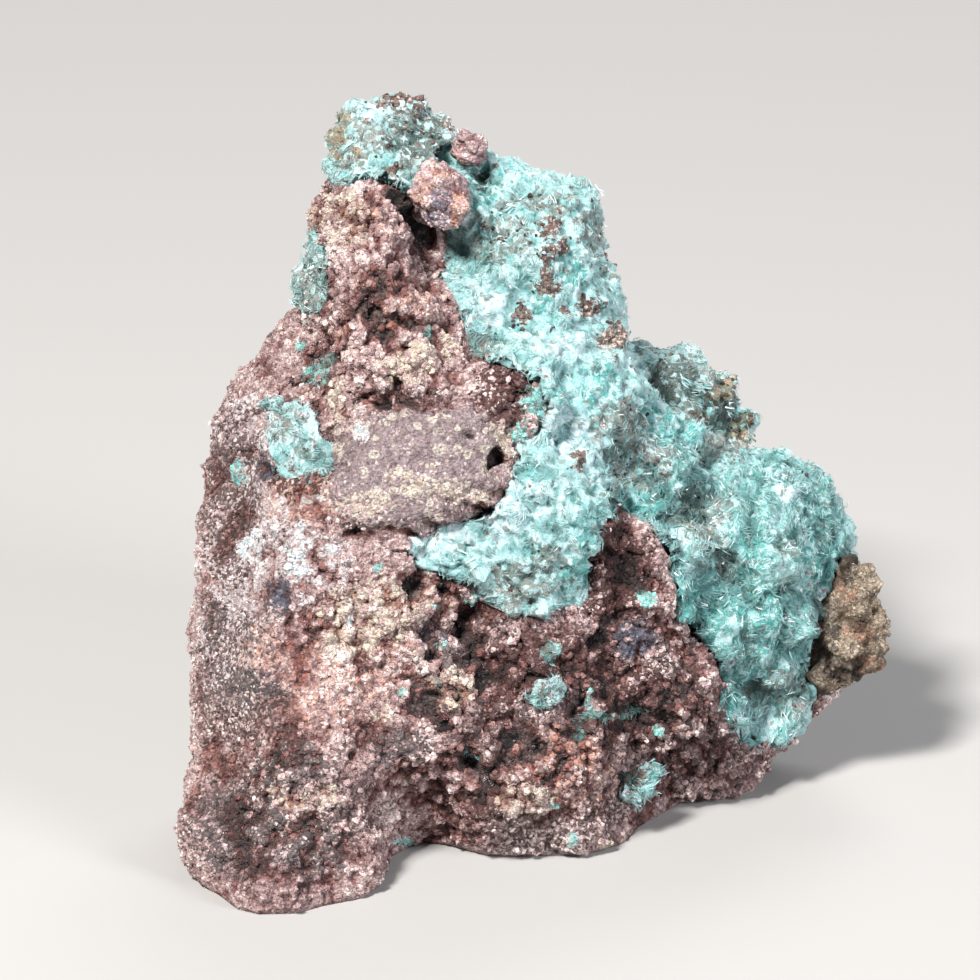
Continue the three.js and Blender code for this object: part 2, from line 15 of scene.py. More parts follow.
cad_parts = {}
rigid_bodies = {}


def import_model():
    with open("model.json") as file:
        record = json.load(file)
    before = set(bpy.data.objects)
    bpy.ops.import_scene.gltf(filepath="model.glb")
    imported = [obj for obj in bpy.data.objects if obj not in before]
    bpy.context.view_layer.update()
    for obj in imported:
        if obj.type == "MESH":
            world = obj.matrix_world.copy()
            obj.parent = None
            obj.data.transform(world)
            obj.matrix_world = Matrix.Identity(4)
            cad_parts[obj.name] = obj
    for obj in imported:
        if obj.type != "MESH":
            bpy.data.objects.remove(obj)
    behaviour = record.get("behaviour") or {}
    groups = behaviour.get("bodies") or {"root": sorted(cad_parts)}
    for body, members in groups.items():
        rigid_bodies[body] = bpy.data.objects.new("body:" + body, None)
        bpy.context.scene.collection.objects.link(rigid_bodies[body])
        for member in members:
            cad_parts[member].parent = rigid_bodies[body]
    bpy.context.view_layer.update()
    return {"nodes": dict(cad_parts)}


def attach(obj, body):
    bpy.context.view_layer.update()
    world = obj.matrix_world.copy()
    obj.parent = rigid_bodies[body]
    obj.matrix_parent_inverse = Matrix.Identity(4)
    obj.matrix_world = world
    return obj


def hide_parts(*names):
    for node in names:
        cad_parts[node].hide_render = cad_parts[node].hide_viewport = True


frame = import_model()

MM = 0.001

# The display face: its lean, and the eye that the marks on it are laid out for.
FACE_LEAN = math.radians(20)
FACE_NORMAL = Vector((0, -math.cos(FACE_LEAN), math.sin(FACE_LEAN)))
EYE_DISTANCE = 563.2
EYE_LEVEL = 24.3

# Least and greatest sizes of the grains and of the fans of needles, and the cut of a needle one unit
# long. Real needles are a few hundredths wide. These are drawn coarser, so that each one shows.
GRAIN = (0.18, 0.42)
FELT_FAN = (0.4, 0.8)
BLADE_FAN = (0.5, 1.0)
NEEDLE_WIDTH = 0.1
BLADE_WIDTH = 0.2
BLADE_THICKNESS = 0.05

# Fineness of the skins that the grains and needles grow on.
ROCK_SKIN = 0.22
CRUST_SKIN = 0.25
SMALL_SKIN = 0.2
KNOB_SKIN = 0.24
DRUSE_SKIN = 0.28

# The gap that each crust and nodule keeps from its bed, and how near to it a skin counts as hidden.
SEAM = 0.45
HIDDEN = 0.72

# How far grit and stray needles spread over a border, and how long its bays are.
RIM = 1.9
RAGGED = 1.1

# The waves that pull the skins about near a border: how far, their length, and where they die down.
WARP = 1.2
WARP_LENGTH = 1.7
CALM = 3.6

# How far up the foot of the rock stays bare and flat, so that it stands on the floor.
BARE_FOOT = 0.55

# The slow swell of a skin, and how much of its height a lump goes up and down.
SWELL_LENGTH = 5.0
LUMP_UP = 0.55
LUMP_DOWN = 0.6

# How close two grains may be, as a share of the mean gap, and the bias to small ones.
CLOSEST = 0.45
SMALL_BIAS = 1.8

# In radians: how far a grain is turned anyhow, how far the heading of the combed locks swings to
# either side, and how far a fan strays from the heading of its lock.
TURN = 6.28
LOCK_SWING = 6.3
STRAY_HEADING = 0.8

# Ovals on the display face: across, up, half width, half height. These are on the rock.
CREAM = [
    (-7.2, 16.3, 4.0, 2.1), (-9.7, 14.0, 2.1, 1.5), (-7.4, 8.9, 1.1, 0.8), (-2.4, 10.8, 1.8, 1.5),
    (-10.0, 44.0, 1.8, 1.0), (-9.5, 42.0, 1.2, 0.7), (-11.6, 43.3, 0.8, 1.8), (-4.1, 33.8, 1.8, 1.2),
    (-6.2, 32.6, 1.5, 1.1), (0.7, 27.8, 1.0, 1.4), (-4.6, 24.6, 1.6, 0.7), (8.1, -0.2, 0.7, 0.6),
    (-10.7, 30.5, 0.7, 1.7), (-13.1, 3.3, 2.8, 1.0), (2.4, 2.9, 2.1, 1.1), (-8.4, 23.5, 1.6, 0.8),
    (-6.3, 25.4, 0.9, 0.6), (-2.9, 24.4, 0.9, 0.7), (-1.4, 23.8, 1.3, 0.6), (-0.2, 26.0, 0.5, 0.7),
]
ORANGE = [
    (-11.0, 11.0, 4.5, 3.0), (-15.6, 12.5, 1.8, 2.4), (-13.1, 23.6, 2.8, 1.8), (-8.6, 42.6, 1.8, 1.5),
    (-4.5, 43.6, 1.2, 1.5), (-2.4, 40.9, 1.0, 0.8), (-10.7, 35.3, 1.0, 1.0), (-6.6, 37.4, 3.0, 2.1),
    (4.8, 5.0, 4.1, 2.8), (-7.5, 15.5, 4.5, 3.0),
]
DEEP_RED = [
    (8.3, 18.4, 3.0, 3.3), (6.9, 12.6, 2.2, 1.8), (-0.5, 2.6, 1.4, 1.0), (2.1, 11.9, 2.8, 2.1),
    (-13.1, 25.0, 2.1, 1.4), (10.3, 9.5, 2.8, 2.1), (1.2, 30.8, 2.4, 2.2),
]
GREY_STAIN = [
    (-14.8, 17.0, 1.0, 1.4), (-19.0, 15.2, 0.8, 1.7), (-16.8, 10.5, 2.3, 1.4), (-15.4, 25.9, 1.0, 1.0),
    (-13.8, 5.3, 2.3, 1.8), (-17.2, 0.9, 3.2, 3.0), (-3.9, 14.5, 1.1, 1.0), (-2.4, 12.9, 1.2, 0.7),
    (-12.4, -0.2, 2.8, 2.1), (10.0, 14.0, 1.4, 1.1), (-6.2, 6.7, 2.1, 1.2),
]
MAUVE = [(-16.0, 21.0, 4.0, 5.5), (-18.0, 14.0, 2.2, 5.0), (-12.0, 19.0, 2.5, 2.5), (-17.0, 28.0, 2.5, 3.0)]
INK = [(10.0, 14.0, 1.5, 1.2), (-14.6, 17.2, 0.9, 1.2), (-15.4, 25.9, 0.8, 0.8), (-3.9, 14.5, 0.7, 0.7)]
WHITE_POWDER = [
    (-16.1, 21.4, 0.4, 0.3), (-16.8, 20.6, 0.4, 0.5), (-17.0, 19.9, 0.3, 0.3), (-14.2, 20.6, 0.5, 0.3),
    (-13.4, 19.7, 0.7, 0.5), (-12.6, 20.6, 0.5, 0.4), (-12.7, 18.9, 0.5, 0.3), (-12.4, 23.8, 0.7, 0.3),
    (-13.0, 21.8, 0.4, 0.3), (-8.9, 28.3, 0.7, 0.8), (-9.6, 15.3, 0.3, 0.4), (-11.0, 20.2, 0.4, 0.4),
    (-15.0, 21.0, 0.2, 0.2), (-11.6, 22.4, 0.4, 0.2), (-13.9, 18.7, 0.3, 0.2), (-16.6, 20.4, 0.8, 0.9),
    (-13.6, 18.9, 0.9, 0.5), (-13.2, 21.8, 0.6, 0.5), (-14.4, 20.6, 0.7, 0.4),
]
STRAY_TEAL = [
    (-3.6, 16.2, 0.4, 0.3), (-3.3, 13.8, 0.3, 0.2), (-3.5, 11.1, 0.3, 0.3), (-5.9, 10.4, 0.3, 0.3),
    (-1.4, 16.8, 0.5, 0.3), (-7.7, 18.9, 0.5, 0.2), (-12.9, 25.0, 0.3, 0.3), (-11.7, 32.9, 0.6, 0.9),
    (-12.3, 32.2, 0.6, 0.6), (4.2, 13.4, 0.6, 0.4), (7.6, 8.7, 1.4, 0.3), (10.3, 8.7, 0.8, 0.3),
    (5.7, 0.4, 0.4, 0.4), (-1.1, 5.6, 0.3, 0.3), (-5.9, 0.1, 0.6, 0.3), (4.5, 2.6, 0.3, 0.3),
    (-13.1, 34.3, 0.3, 0.3), (-17.6, 25.7, 0.5, 0.6), (-17.2, 25.1, 0.5, 0.3), (11.7, 7.5, 0.4, 0.3),
    (2.1, 9.8, 0.3, 0.3), (-3.9, 35.0, 0.3, 0.6), (10.7, 16.9, 0.6, 0.4), (6.9, 9.8, 0.4, 0.7),
    (6.2, 7.4, 0.4, 0.7), (3.2, 30.7, 1.0, 1.5), (2.4, 28.3, 0.5, 0.6),
]
# Pits: sunk into the rock, and painted near black there as shade.
VUGS = [
    (-1.9, 15.0, 0.35, 0.5), (-0.3, 11.4, 0.6, 0.6), (-3.9, 10.3, 0.6, 0.4), (-2.2, 9.8, 0.5, 0.4),
    (-5.3, 17.8, 0.6, 0.4), (-3.0, 17.3, 0.7, 0.4), (0.6, 26.5, 0.6, 0.6), (-1.5, 28.0, 0.5, 0.3),
    (-10.7, 33.6, 0.5, 0.4), (-4.8, 43.3, 0.7, 1.7), (-3.1, 8.1, 0.7, 0.5), (-9.0, 30.4, 0.6, 0.3),
    (-7.6, 30.2, 0.6, 0.3), (-6.1, 31.5, 0.3, 0.4), (-8.6, 42.8, 0.4, 0.3), (-13.8, 15.3, 0.3, 0.6),
    (-8.6, 12.0, 0.5, 0.3), (1.4, 7.4, 0.7, 0.5), (-1.4, 5.3, 0.6, 0.3), (3.4, 6.7, 0.5, 0.4),
    (7.6, 14.0, 0.6, 0.6), (4.8, 16.7, 1.0, 0.3), (-9.3, 6.0, 0.3, 0.3), (-4.1, 12.9, 0.6, 0.4),
    (-1.0, 14.0, 0.6, 0.4), (-10.0, 20.9, 0.3, 0.2), (-15.4, 26.0, 0.6, 0.5), (-8.3, 36.5, 0.3, 0.3),
    (-5.5, 35.7, 0.3, 0.3), (-5.9, 34.3, 0.3, 0.3), (-6.2, 44.9, 0.6, 0.9), (-5.3, 43.6, 0.6, 1.0),
    (-4.3, 42.3, 0.6, 1.0),
]
# Dark grey-brown marks: partly the rock's own tone, partly painted shade in the recess beside the summit
# nodule, in strips along the plate's rims, and on the saddle and the low parts.
UMBER_AND_SHADE = [
    (7.0, 9.0, 8.0, 6.5), (8.6, 18.5, 3.4, 3.8), (-1.0, 12.0, 3.6, 4.0), (-15.0, 2.0, 7.0, 3.5),
    (14.0, 7.0, 6.0, 4.0), (4.0, 3.0, 5.5, 3.6), (-18.0, 24.0, 2.0, 6.0), (3.0, 31.5, 2.0, 2.0),
    (-17.0, 11.0, 3.5, 4.5), (0.0, 10.0, 4.0, 4.0), (-4.9, 43.2, 0.9, 2.4), (-8.2, 21.9, 2.0, 0.35),
    (-4.9, 22.3, 1.8, 0.35), (-2.2, 22.9, 1.4, 0.35), (-5.6, 31.0, 3.4, 0.6),
]
CLOSED = [(3.7, 30.2, 1.0, 2.6), (-10.9, 41.4, 0.8, 1.4)]
SMOOTH_WALL = [(-16.5, 13.0, 4.5, 9.0), (-16.0, 26.0, 4.0, 5.0)]
LEDGE = [
    (-9.0, 21.3, 1.3, 0.25), (-6.2, 21.6, 1.5, 0.25), (-3.4, 22.1, 1.4, 0.25), (-0.7, 23.1, 1.2, 0.3),
    (1.4, 24.1, 0.8, 0.3),
]
PLATE = [(-6.0, 26.6, 4.6, 3.4), (-1.8, 26.8, 3.2, 3.4), (-9.2, 25.4, 2.4, 2.6), (-4.0, 22.6, 4.6, 1.0)]
LUMPY = [
    (-6.6, 30.8, 3.6, 2.2), (-2.0, 12.5, 4.2, 4.6), (8.6, 18.0, 3.2, 4.0), (1.6, 30.8, 2.8, 2.0),
    (5.0, 10.0, 5.0, 4.0), (12.0, 8.0, 4.0, 4.0), (2.0, 6.0, 5.0, 3.0), (-6.5, 36.0, 3.0, 3.0),
    (-12.0, 32.0, 1.6, 2.4),
]
KNOBBLY = [
    (-8.5, 41.0, 4.4, 5.6), (-8.0, 34.0, 5.0, 4.6), (2.6, 29.5, 2.6, 3.0), (8.4, 18.4, 3.4, 4.2),
    (-1.0, 12.5, 5.4, 5.4), (9.0, 9.5, 7.0, 6.0), (-9.0, 15.0, 5.0, 4.5), (0.0, 5.0, 7.0, 4.0),
    (-14.0, 3.0, 5.0, 4.0), (14.0, 4.5, 5.0, 3.0),
]

# Ovals on the crust.
BROWN_SPOTS = [
    (4.1, 42.4, 0.65, 0.7), (3.9, 40.7, 0.7, 0.6), (5.1, 41.2, 0.4, 0.6), (3.9, 39.5, 0.35, 0.7),
    (4.0, 38.3, 0.9, 0.65), (2.3, 36.6, 0.55, 0.6), (5.3, 36.7, 0.35, 0.5), (7.0, 36.9, 1.0, 0.65),
    (8.3, 34.8, 0.75, 1.1), (6.1, 26.3, 0.5, 0.6), (-5.8, 51.0, 1.8, 0.6), (-2.2, 49.6, 1.0, 0.5),
    (-1.0, 48.8, 1.0, 0.6), (-8.6, 49.7, 0.3, 0.3), (-6.6, 46.4, 0.5, 0.4), (0.7, 41.8, 0.3, 0.2),
]
GREY_FELT = [
    (3.8, 44.3, 2.5, 0.7), (5.0, 43.9, 0.7, 0.6), (0.7, 42.8, 1.8, 0.6), (2.1, 41.2, 1.1, 0.6),
    (6.9, 42.6, 1.0, 1.1), (8.4, 39.5, 0.7, 0.6), (-4.5, 48.4, 1.8, 1.2), (-6.2, 49.0, 1.1, 0.8),
    (7.6, 41.2, 1.1, 0.8), (2.1, 17.8, 2.1, 1.7), (3.8, 19.5, 1.4, 1.1), (10.3, 26.4, 2.3, 1.8),
    (9.0, 29.1, 1.8, 1.5), (14.5, 22.2, 1.8, 2.1), (20.7, 10.5, 1.4, 1.5), (-0.7, 34.3, 1.2, 0.8),
    (0.0, 40.9, 1.4, 1.1), (15.9, 27.1, 1.7, 1.1), (15.3, 20.4, 1.2, 1.2), (16.4, 19.2, 0.9, 1.2),
    (23.2, 16.0, 1.1, 1.6), (20.3, 20.3, 0.8, 0.6), (19.0, 10.2, 1.4, 0.9), (14.5, 24.1, 1.3, 0.7),
    (11.7, 25.7, 1.0, 0.9), (1.1, 43.9, 1.0, 0.4), (2.4, 44.5, 1.2, 0.4), (3.6, 44.8, 0.9, 0.4),
    (2.3, 42.1, 0.8, 0.6), (-12.4, 38.8, 1.5, 2.4), (-9.4, 47.4, 0.9, 0.8), (-7.2, 48.3, 0.9, 0.6),
    (-7.6, 46.4, 0.9, 0.5), (-9.8, 50.2, 0.7, 0.5), (-5.6, 47.2, 0.9, 0.6), (-5.4, 49.2, 2.4, 1.4),
    (-7.6, 48.6, 1.8, 1.2), (-12.9, 27.2, 0.7, 0.6), (-11.5, 26.4, 0.6, 0.4), (-14.4, 28.9, 0.5, 0.7),
]
WHITE_FELT = [
    (0.7, 37.4, 1.8, 1.6), (-0.7, 35.3, 1.2, 1.1), (4.8, 34.0, 1.9, 0.9), (-2.8, 20.9, 2.3, 1.1),
    (0.7, 22.9, 2.3, 1.9), (3.4, 23.6, 1.8, 1.4), (4.5, 20.5, 1.5, 1.5), (-8.3, 50.5, 0.9, 0.5),
    (-8.9, 46.9, 0.9, 0.7), (3.8, 15.3, 1.1, 0.6), (-1.4, 30.5, 0.7, 0.8), (-4.8, 20.2, 1.2, 0.8),
    (3.4, 29.1, 1.5, 1.1), (6.2, 28.0, 2.0, 1.6), (18.4, 8.6, 1.8, 1.2), (14.1, 18.8, 1.0, 0.3),
    (11.7, 20.9, 1.4, 1.1), (20.7, 25.0, 1.1, 1.4), (-13.2, 28.6, 1.6, 1.2), (-11.6, 27.4, 1.4, 1.2),
    (-12.7, 39.6, 1.3, 2.0),
]
DEEP_TEAL = [
    (-0.8, 44.6, 1.2, 1.2), (-0.7, 46.0, 1.5, 0.8), (5.9, 39.1, 0.8, 1.0), (7.6, 31.2, 1.2, 1.6),
    (5.9, 19.5, 1.2, 2.8), (-3.1, 21.7, 1.4, 0.5), (0.7, 31.5, 0.4, 1.1), (13.8, 27.8, 2.8, 1.4),
    (17.2, 19.5, 2.1, 2.1), (14.5, 15.3, 2.1, 2.3), (18.6, 15.3, 1.8, 2.3), (18.6, 11.2, 2.1, 2.1),
    (15.9, 9.8, 1.8, 1.8), (22.8, 19.5, 1.4, 2.1), (10.3, 23.6, 1.4, 1.1), (4.8, 31.0, 1.0, 0.9),
    (11.4, 28.8, 1.4, 1.4), (0.7, 25.7, 1.1, 1.0), (3.4, 37.4, 0.7, 0.7), (-2.1, 23.6, 1.0, 0.6),
]
# Near-black marks on the crust: sooty patches on the summit, and painted shade in two hollows.
SOOT_AND_SHADE = [(-5.3, 48.7, 2.0, 1.6), (-4.0, 47.6, 1.0, 0.9), (-1.6, 32.6, 0.8, 0.6), (-0.6, 45.9, 0.9, 0.6)]
CRUST_HOLLOWS = [
    (-0.6, 45.8, 1.1, 0.8), (-1.7, 32.6, 0.9, 0.5), (15.2, 20.6, 0.9, 0.7), (16.4, 19.4, 0.7, 0.9),
    (23.0, 16.7, 0.7, 1.0), (23.0, 15.2, 0.6, 0.8), (14.1, 15.1, 0.5, 0.6), (16.0, 16.0, 0.7, 0.5),
    (20.2, 20.4, 0.6, 0.4), (18.6, 10.3, 1.0, 0.5), (14.5, 24.0, 0.8, 0.5), (16.2, 26.0, 1.8, 0.4),
    (12.6, 22.6, 1.6, 0.4), (18.0, 22.4, 0.5, 1.6),
]
GLINTS = [
    (20.1, 25.5, 0.3, 0.3), (19.9, 24.5, 0.3, 0.3), (16.2, 22.6, 0.3, 0.3), (13.6, 18.7, 0.7, 0.3),
    (18.1, 19.0, 0.3, 0.3), (19.4, 17.6, 0.3, 0.3), (15.9, 16.0, 0.3, 0.4), (19.0, 16.1, 0.3, 0.3),
    (18.2, 14.2, 0.3, 0.5), (20.2, 12.2, 0.4, 0.3), (21.4, 12.5, 0.3, 0.3), (22.5, 11.8, 0.4, 0.4),
    (15.9, 8.2, 0.5, 0.3), (20.1, 8.2, 0.4, 0.5), (24.6, 21.4, 0.3, 0.5), (25.2, 19.4, 0.3, 0.3),
    (21.2, 22.0, 0.2, 0.3), (22.4, 20.2, 0.2, 0.2), (12.5, 27.2, 0.3, 0.3), (13.1, 28.0, 0.3, 0.3),
]
SUMMIT_TAN = [(-10.6, 49.2, 0.8, 2.0), (-9.0, 47.9, 0.4, 0.3)]
COARSE = [(17.0, 19.0, 8.5, 10.5), (20.0, 24.0, 6.0, 5.0), (15.0, 27.0, 5.0, 3.5), (18.0, 9.0, 4.0, 5.0)]

# Ovals on the two small fans.
FAN_GAPS = [
    (5.8, 8.9, 1.4, 1.3), (2.3, 12.0, 1.3, 1.2), (6.0, 12.0, 0.8, 1.0), (9.0, 5.6, 1.5, 1.4),
    (12.2, 2.2, 1.4, 1.3),
]
FAN_WHITE = [(10.2, 3.4, 1.4, 1.3), (4.0, 11.1, 0.6, 0.4)]
FAN_GREY = [(3.2, 9.5, 2.2, 1.4), (9.6, 4.6, 0.8, 0.8)]
FAN_DEEP = [(4.9, 11.0, 0.8, 0.6), (11.8, 5.0, 0.8, 1.2)]

# Ovals on the nodules, the ochre knob and the rear lobe.
NODULE_RUST = [(-4.6, 44.8, 0.9, 1.2), (-1.9, 43.2, 1.0, 1.5), (-3.3, 46.6, 0.9, 0.7)]
NODULE_BLUE = [(-3.4, 44.4, 0.8, 0.9), (-3.6, 42.9, 0.7, 0.8)]
KNOB_RUST = [(25.6, 14.6, 1.2, 0.9), (24.0, 17.6, 1.2, 1.0), (26.4, 12.0, 0.8, 0.8)]
KNOB_DARK = [(23.3, 13.5, 0.8, 2.0), (24.9, 19.2, 0.7, 1.4), (25.2, 10.4, 1.2, 0.5)]
DRUSE_TAN = [(16.3, 31.2, 0.9, 0.8), (14.8, 29.4, 0.7, 0.7), (17.6, 28.4, 0.8, 1.0)]
# Painted shade over the rear lobe: a broad greying, and darker patches.
DRUSE_SHADE = [(15.0, 29.6, 4.4, 4.8)]
DRUSE_DARK_SHADE = [
    (12.8, 31.6, 1.8, 1.8), (17.2, 30.4, 1.6, 2.2), (15.0, 30.0, 1.4, 1.6), (13.6, 28.6, 1.2, 1.0),
]


# ---------------------------------------------------------------- colours and nodes

def colour(code):
    """The linear colour of an sRGB hex code."""
    parts = [int(code[i:i + 2], 16) / 255 for i in (1, 3, 5)]
    return tuple(c / 12.92 if c <= 0.04045 else ((c + 0.055) / 1.055) ** 2.4 for c in parts) + (1,)


def add(tree, kind, values=None, give=0, stops=(), **settings):
    """Adds a node with its settings and links, and gives one of its outputs.

    A value is a number, or the output of another node to link. stops are the places and colours
    of a colour ramp.
    """
    made = tree.nodes.new(kind)
    for name, setting in settings.items():
        setattr(made, name, setting)
    for index, (position, code) in enumerate(stops):
        elements = made.color_ramp.elements
        element = elements[index] if index < len(elements) else elements.new(position)
        element.position = position
        element.color = colour(code)
    for key, value in (values or {}).items():
        if isinstance(value, bpy.types.NodeSocket):
            tree.links.new(value, made.inputs[key])
        else:
            made.inputs[key].default_value = value
    return made.outputs[give] if made.outputs else made


# ---------------------------------------------------------------- working on objects

def take(obj):
    """Selects one object and makes it the active one."""
    bpy.ops.object.select_all(action="DESELECT")
    obj.select_set(True)
    bpy.context.view_layer.objects.active = obj


def join_on(ground, *others):
    """Joins other objects to one, as what grows on a small ground is joined to it."""
    take(ground)
    for obj in others:
        obj.select_set(True)
    bpy.ops.object.join()
    return ground


def edit_all():
    """Opens the active object in edit mode with all of its mesh selected."""
    bpy.ops.object.mode_set(mode="EDIT")
    bpy.ops.mesh.select_all(action="SELECT")


def lay(obj, material):
    """Gives an object one material and no other."""
    obj.data.materials.clear()
    obj.data.materials.append(material)
    return obj


def apply_modifier(obj, kind, **settings):
    """Adds a modifier, sets it and applies it."""
    take(obj)
    modifier = obj.modifiers.new(kind.lower(), kind)
    for name, setting in settings.items():
        setattr(modifier, name, setting)
    bpy.ops.object.modifier_apply(modifier=modifier.name)


def new_tree(name):
    """A geometry tree, with the mesh that comes in and the node that it leaves by."""
    tree = bpy.data.node_groups.new(name, "GeometryNodeTree")
    tree.interface.new_socket("Geometry", in_out="INPUT", socket_type="NodeSocketGeometry")
    tree.interface.new_socket("Geometry", in_out="OUTPUT", socket_type="NodeSocketGeometry")
    return tree, add(tree, "NodeGroupInput"), add(tree, "NodeGroupOutput")


def skin_of(node, name, cell, material, smoothing=6):
    """A fine copy of a CAD node's surface, with its facets eased. cell is the size of a facet."""
    skin = bpy.data.objects.new(name, frame["nodes"][node].data.copy())
    bpy.context.scene.collection.objects.link(skin)
    skin.data.materials.clear()
    take(skin)
    edit_all()
    bpy.ops.mesh.remove_doubles(threshold=0.01 * MM)
    bpy.ops.object.mode_set(mode="OBJECT")
    apply_modifier(skin, "REMESH", mode="VOXEL", voxel_size=cell * MM, use_smooth_shade=True)
    apply_modifier(skin, "SMOOTH", factor=0.5, iterations=smoothing)
    return lay(skin, material)


# ---------------------------------------------------------------- marks on the display face

def surface(obj):
    """The corners of an object's mesh, in mm, and the direction each one faces."""
    count = len(obj.data.vertices)
    corners = np.empty(count * 3)
    facing = np.empty(count * 3)
    obj.data.vertices.foreach_get("co", corners)
    obj.data.vertices.foreach_get("normal", facing)
    return corners.reshape(-1, 3) / MM, facing.reshape(-1, 3)


def ease(value, low, high):
    """0 below low, 1 above high, and a smooth rise between."""
    t = np.clip((value - low) / (high - low), 0, 1)
    return t * t * (3 - 2 * t)


def on_face(corners):
    """Across and up on the display face."""
    lean_cos, lean_sin = math.cos(FACE_LEAN), math.sin(FACE_LEAN)
    up = corners[:, 1] * lean_sin + corners[:, 2] * lean_cos
    depth = corners[:, 1] * lean_cos - corners[:, 2] * lean_sin
    nearness = EYE_DISTANCE / (EYE_DISTANCE + depth)
    return corners[:, 0] * nearness, EYE_LEVEL + (up - EYE_LEVEL) * nearness


def ovals(across, up, places, full_width=0.0):
    """1 well inside any of the ovals, a half on its edge and 0 away from them.

    An oval narrower than full_width is weaker, so that a small pit is shallow too.
    """
    value = np.zeros(len(across))
    for a, u, half_width, half_height in places:
        off = np.hypot((across - a) / half_width, (up - u) / half_height)
        weight = min(1.0, min(half_width, half_height) / full_width) if full_width else 1.0
        value = np.maximum(value, np.clip(1.5 - off, 0, 1) * weight)
    return value


def store(obj, name, values):
    """Keeps one value for each corner of a mesh."""
    layer = obj.data.attributes.get(name) or obj.data.attributes.new(name, "FLOAT", "POINT")
    layer.data.foreach_set("value", np.asarray(values, dtype=np.float32))


# The marks that are pits, and the half width from which a pit has its full depth.
PITS = ("vug", "hollow")
PIT_WIDTH = 0.6

# How much of the relief the plate and the smooth wall are without.
PLATE_FLATNESS = 0.75
WALL_FLATNESS = 0.3


def mark(obj, neighbours, **groups):
    """Keeps each group of ovals on the part of a skin that faces forwards.

    away is 1 where the skin doesn't, rough is how much of the full relief a place has, and bare
    is 1 on the foot. The cover by the neighbours is kept too.
    """
    corners, facing = surface(obj)
    across, up = on_face(corners)
    forward = ease(facing @ np.array(FACE_NORMAL), -0.1, 0.2)
    for name, places in groups.items():
        store(obj, name, ovals(across, up, places, PIT_WIDTH if name in PITS else 0.0) * forward)
    flat = PLATE_FLATNESS * ovals(across, up, PLATE) + WALL_FLATNESS * ovals(across, up, SMOOTH_WALL)
    store(obj, "rough", 1 - np.clip(flat, 0, PLATE_FLATNESS) * forward)
    store(obj, "away", 1 - forward)
    store(obj, "bare", 1 - ease(corners[:, 2], BARE_FOOT * 0.4, BARE_FOOT))
    note_cover(obj, neighbours)


def note_cover(obj, neighbours):
    """Keeps where a skin is bedded against the nodes next to it, and where it borders on them.

    covered is 1 where the skin looks straight into a neighbour, and wander is how far the waves
    pull it about. The two rims are ragged strips in the open along the border: one for grit that
    spreads over it, one for stray needles.
    """
    corners, faces = [], []
    for node in neighbours:
        mesh = frame["nodes"][node].data
        faces += [[corner + len(corners) for corner in face.vertices] for face in mesh.polygons]
        corners += [corner.co for corner in mesh.vertices]
    tree = BVHTree.FromPolygons(corners, faces)
    notes = {"covered": [], "wander": [], "grit_rim": [], "needle_rim": []}
    for corner in obj.data.vertices:
        nearest, _, _, distance = tree.find_nearest(corner.co, CALM * MM)
        bedded, strip, calm = 0.0, 0.0, 1.0
        if nearest is not None:
            way = (nearest - corner.co).normalized()
            if distance < HIDDEN * MM:
                bedded = max(0.0, min(1.0, (corner.normal.dot(way) - 0.5) / 0.3))
            strip = (1 - bedded) * max(0.0, 1 - distance / (RIM * MM))
            calm = min(1.0, max(0.0, (distance / MM - 1.0) / (CALM - 1.0)))
        patchy = noise.noise(corner.co / (RAGGED * MM))
        notes["covered"].append(bedded)
        notes["wander"].append(1 - 0.75 * calm)
        notes["grit_rim"].append(strip if patchy > 0.02 else 0.0)
        notes["needle_rim"].append(strip if patchy < 0.06 else 0.0)
    for name, values in notes.items():
        store(obj, name, values)


def thin(obj, kept, back=0.0):
    """Leaves larger facets where the skin is hidden or stands on the floor.

    kept is the share of facets that stays, and back is how strongly the back is thinned too.
    """
    layers = {}
    for name in ("covered", "bare", "away"):
        layers[name] = np.zeros(len(obj.data.vertices), dtype=np.float32)
        obj.data.attributes[name].data.foreach_get("value", layers[name])
    group = obj.vertex_groups.new(name="thinned")
    behind = layers["away"] > 0.6
    hidden = np.maximum(layers["covered"], layers["bare"]) > 0.95
    if back:
        group.add(np.flatnonzero(behind & ~hidden).tolist(), back, "REPLACE")
    group.add(np.flatnonzero(hidden).tolist(), 1.0, "REPLACE")
    apply_modifier(obj, "DECIMATE", decimate_type="COLLAPSE", ratio=kept, vertex_group="thinned")
    obj.vertex_groups.clear()


# ---------------------------------------------------------------- relief

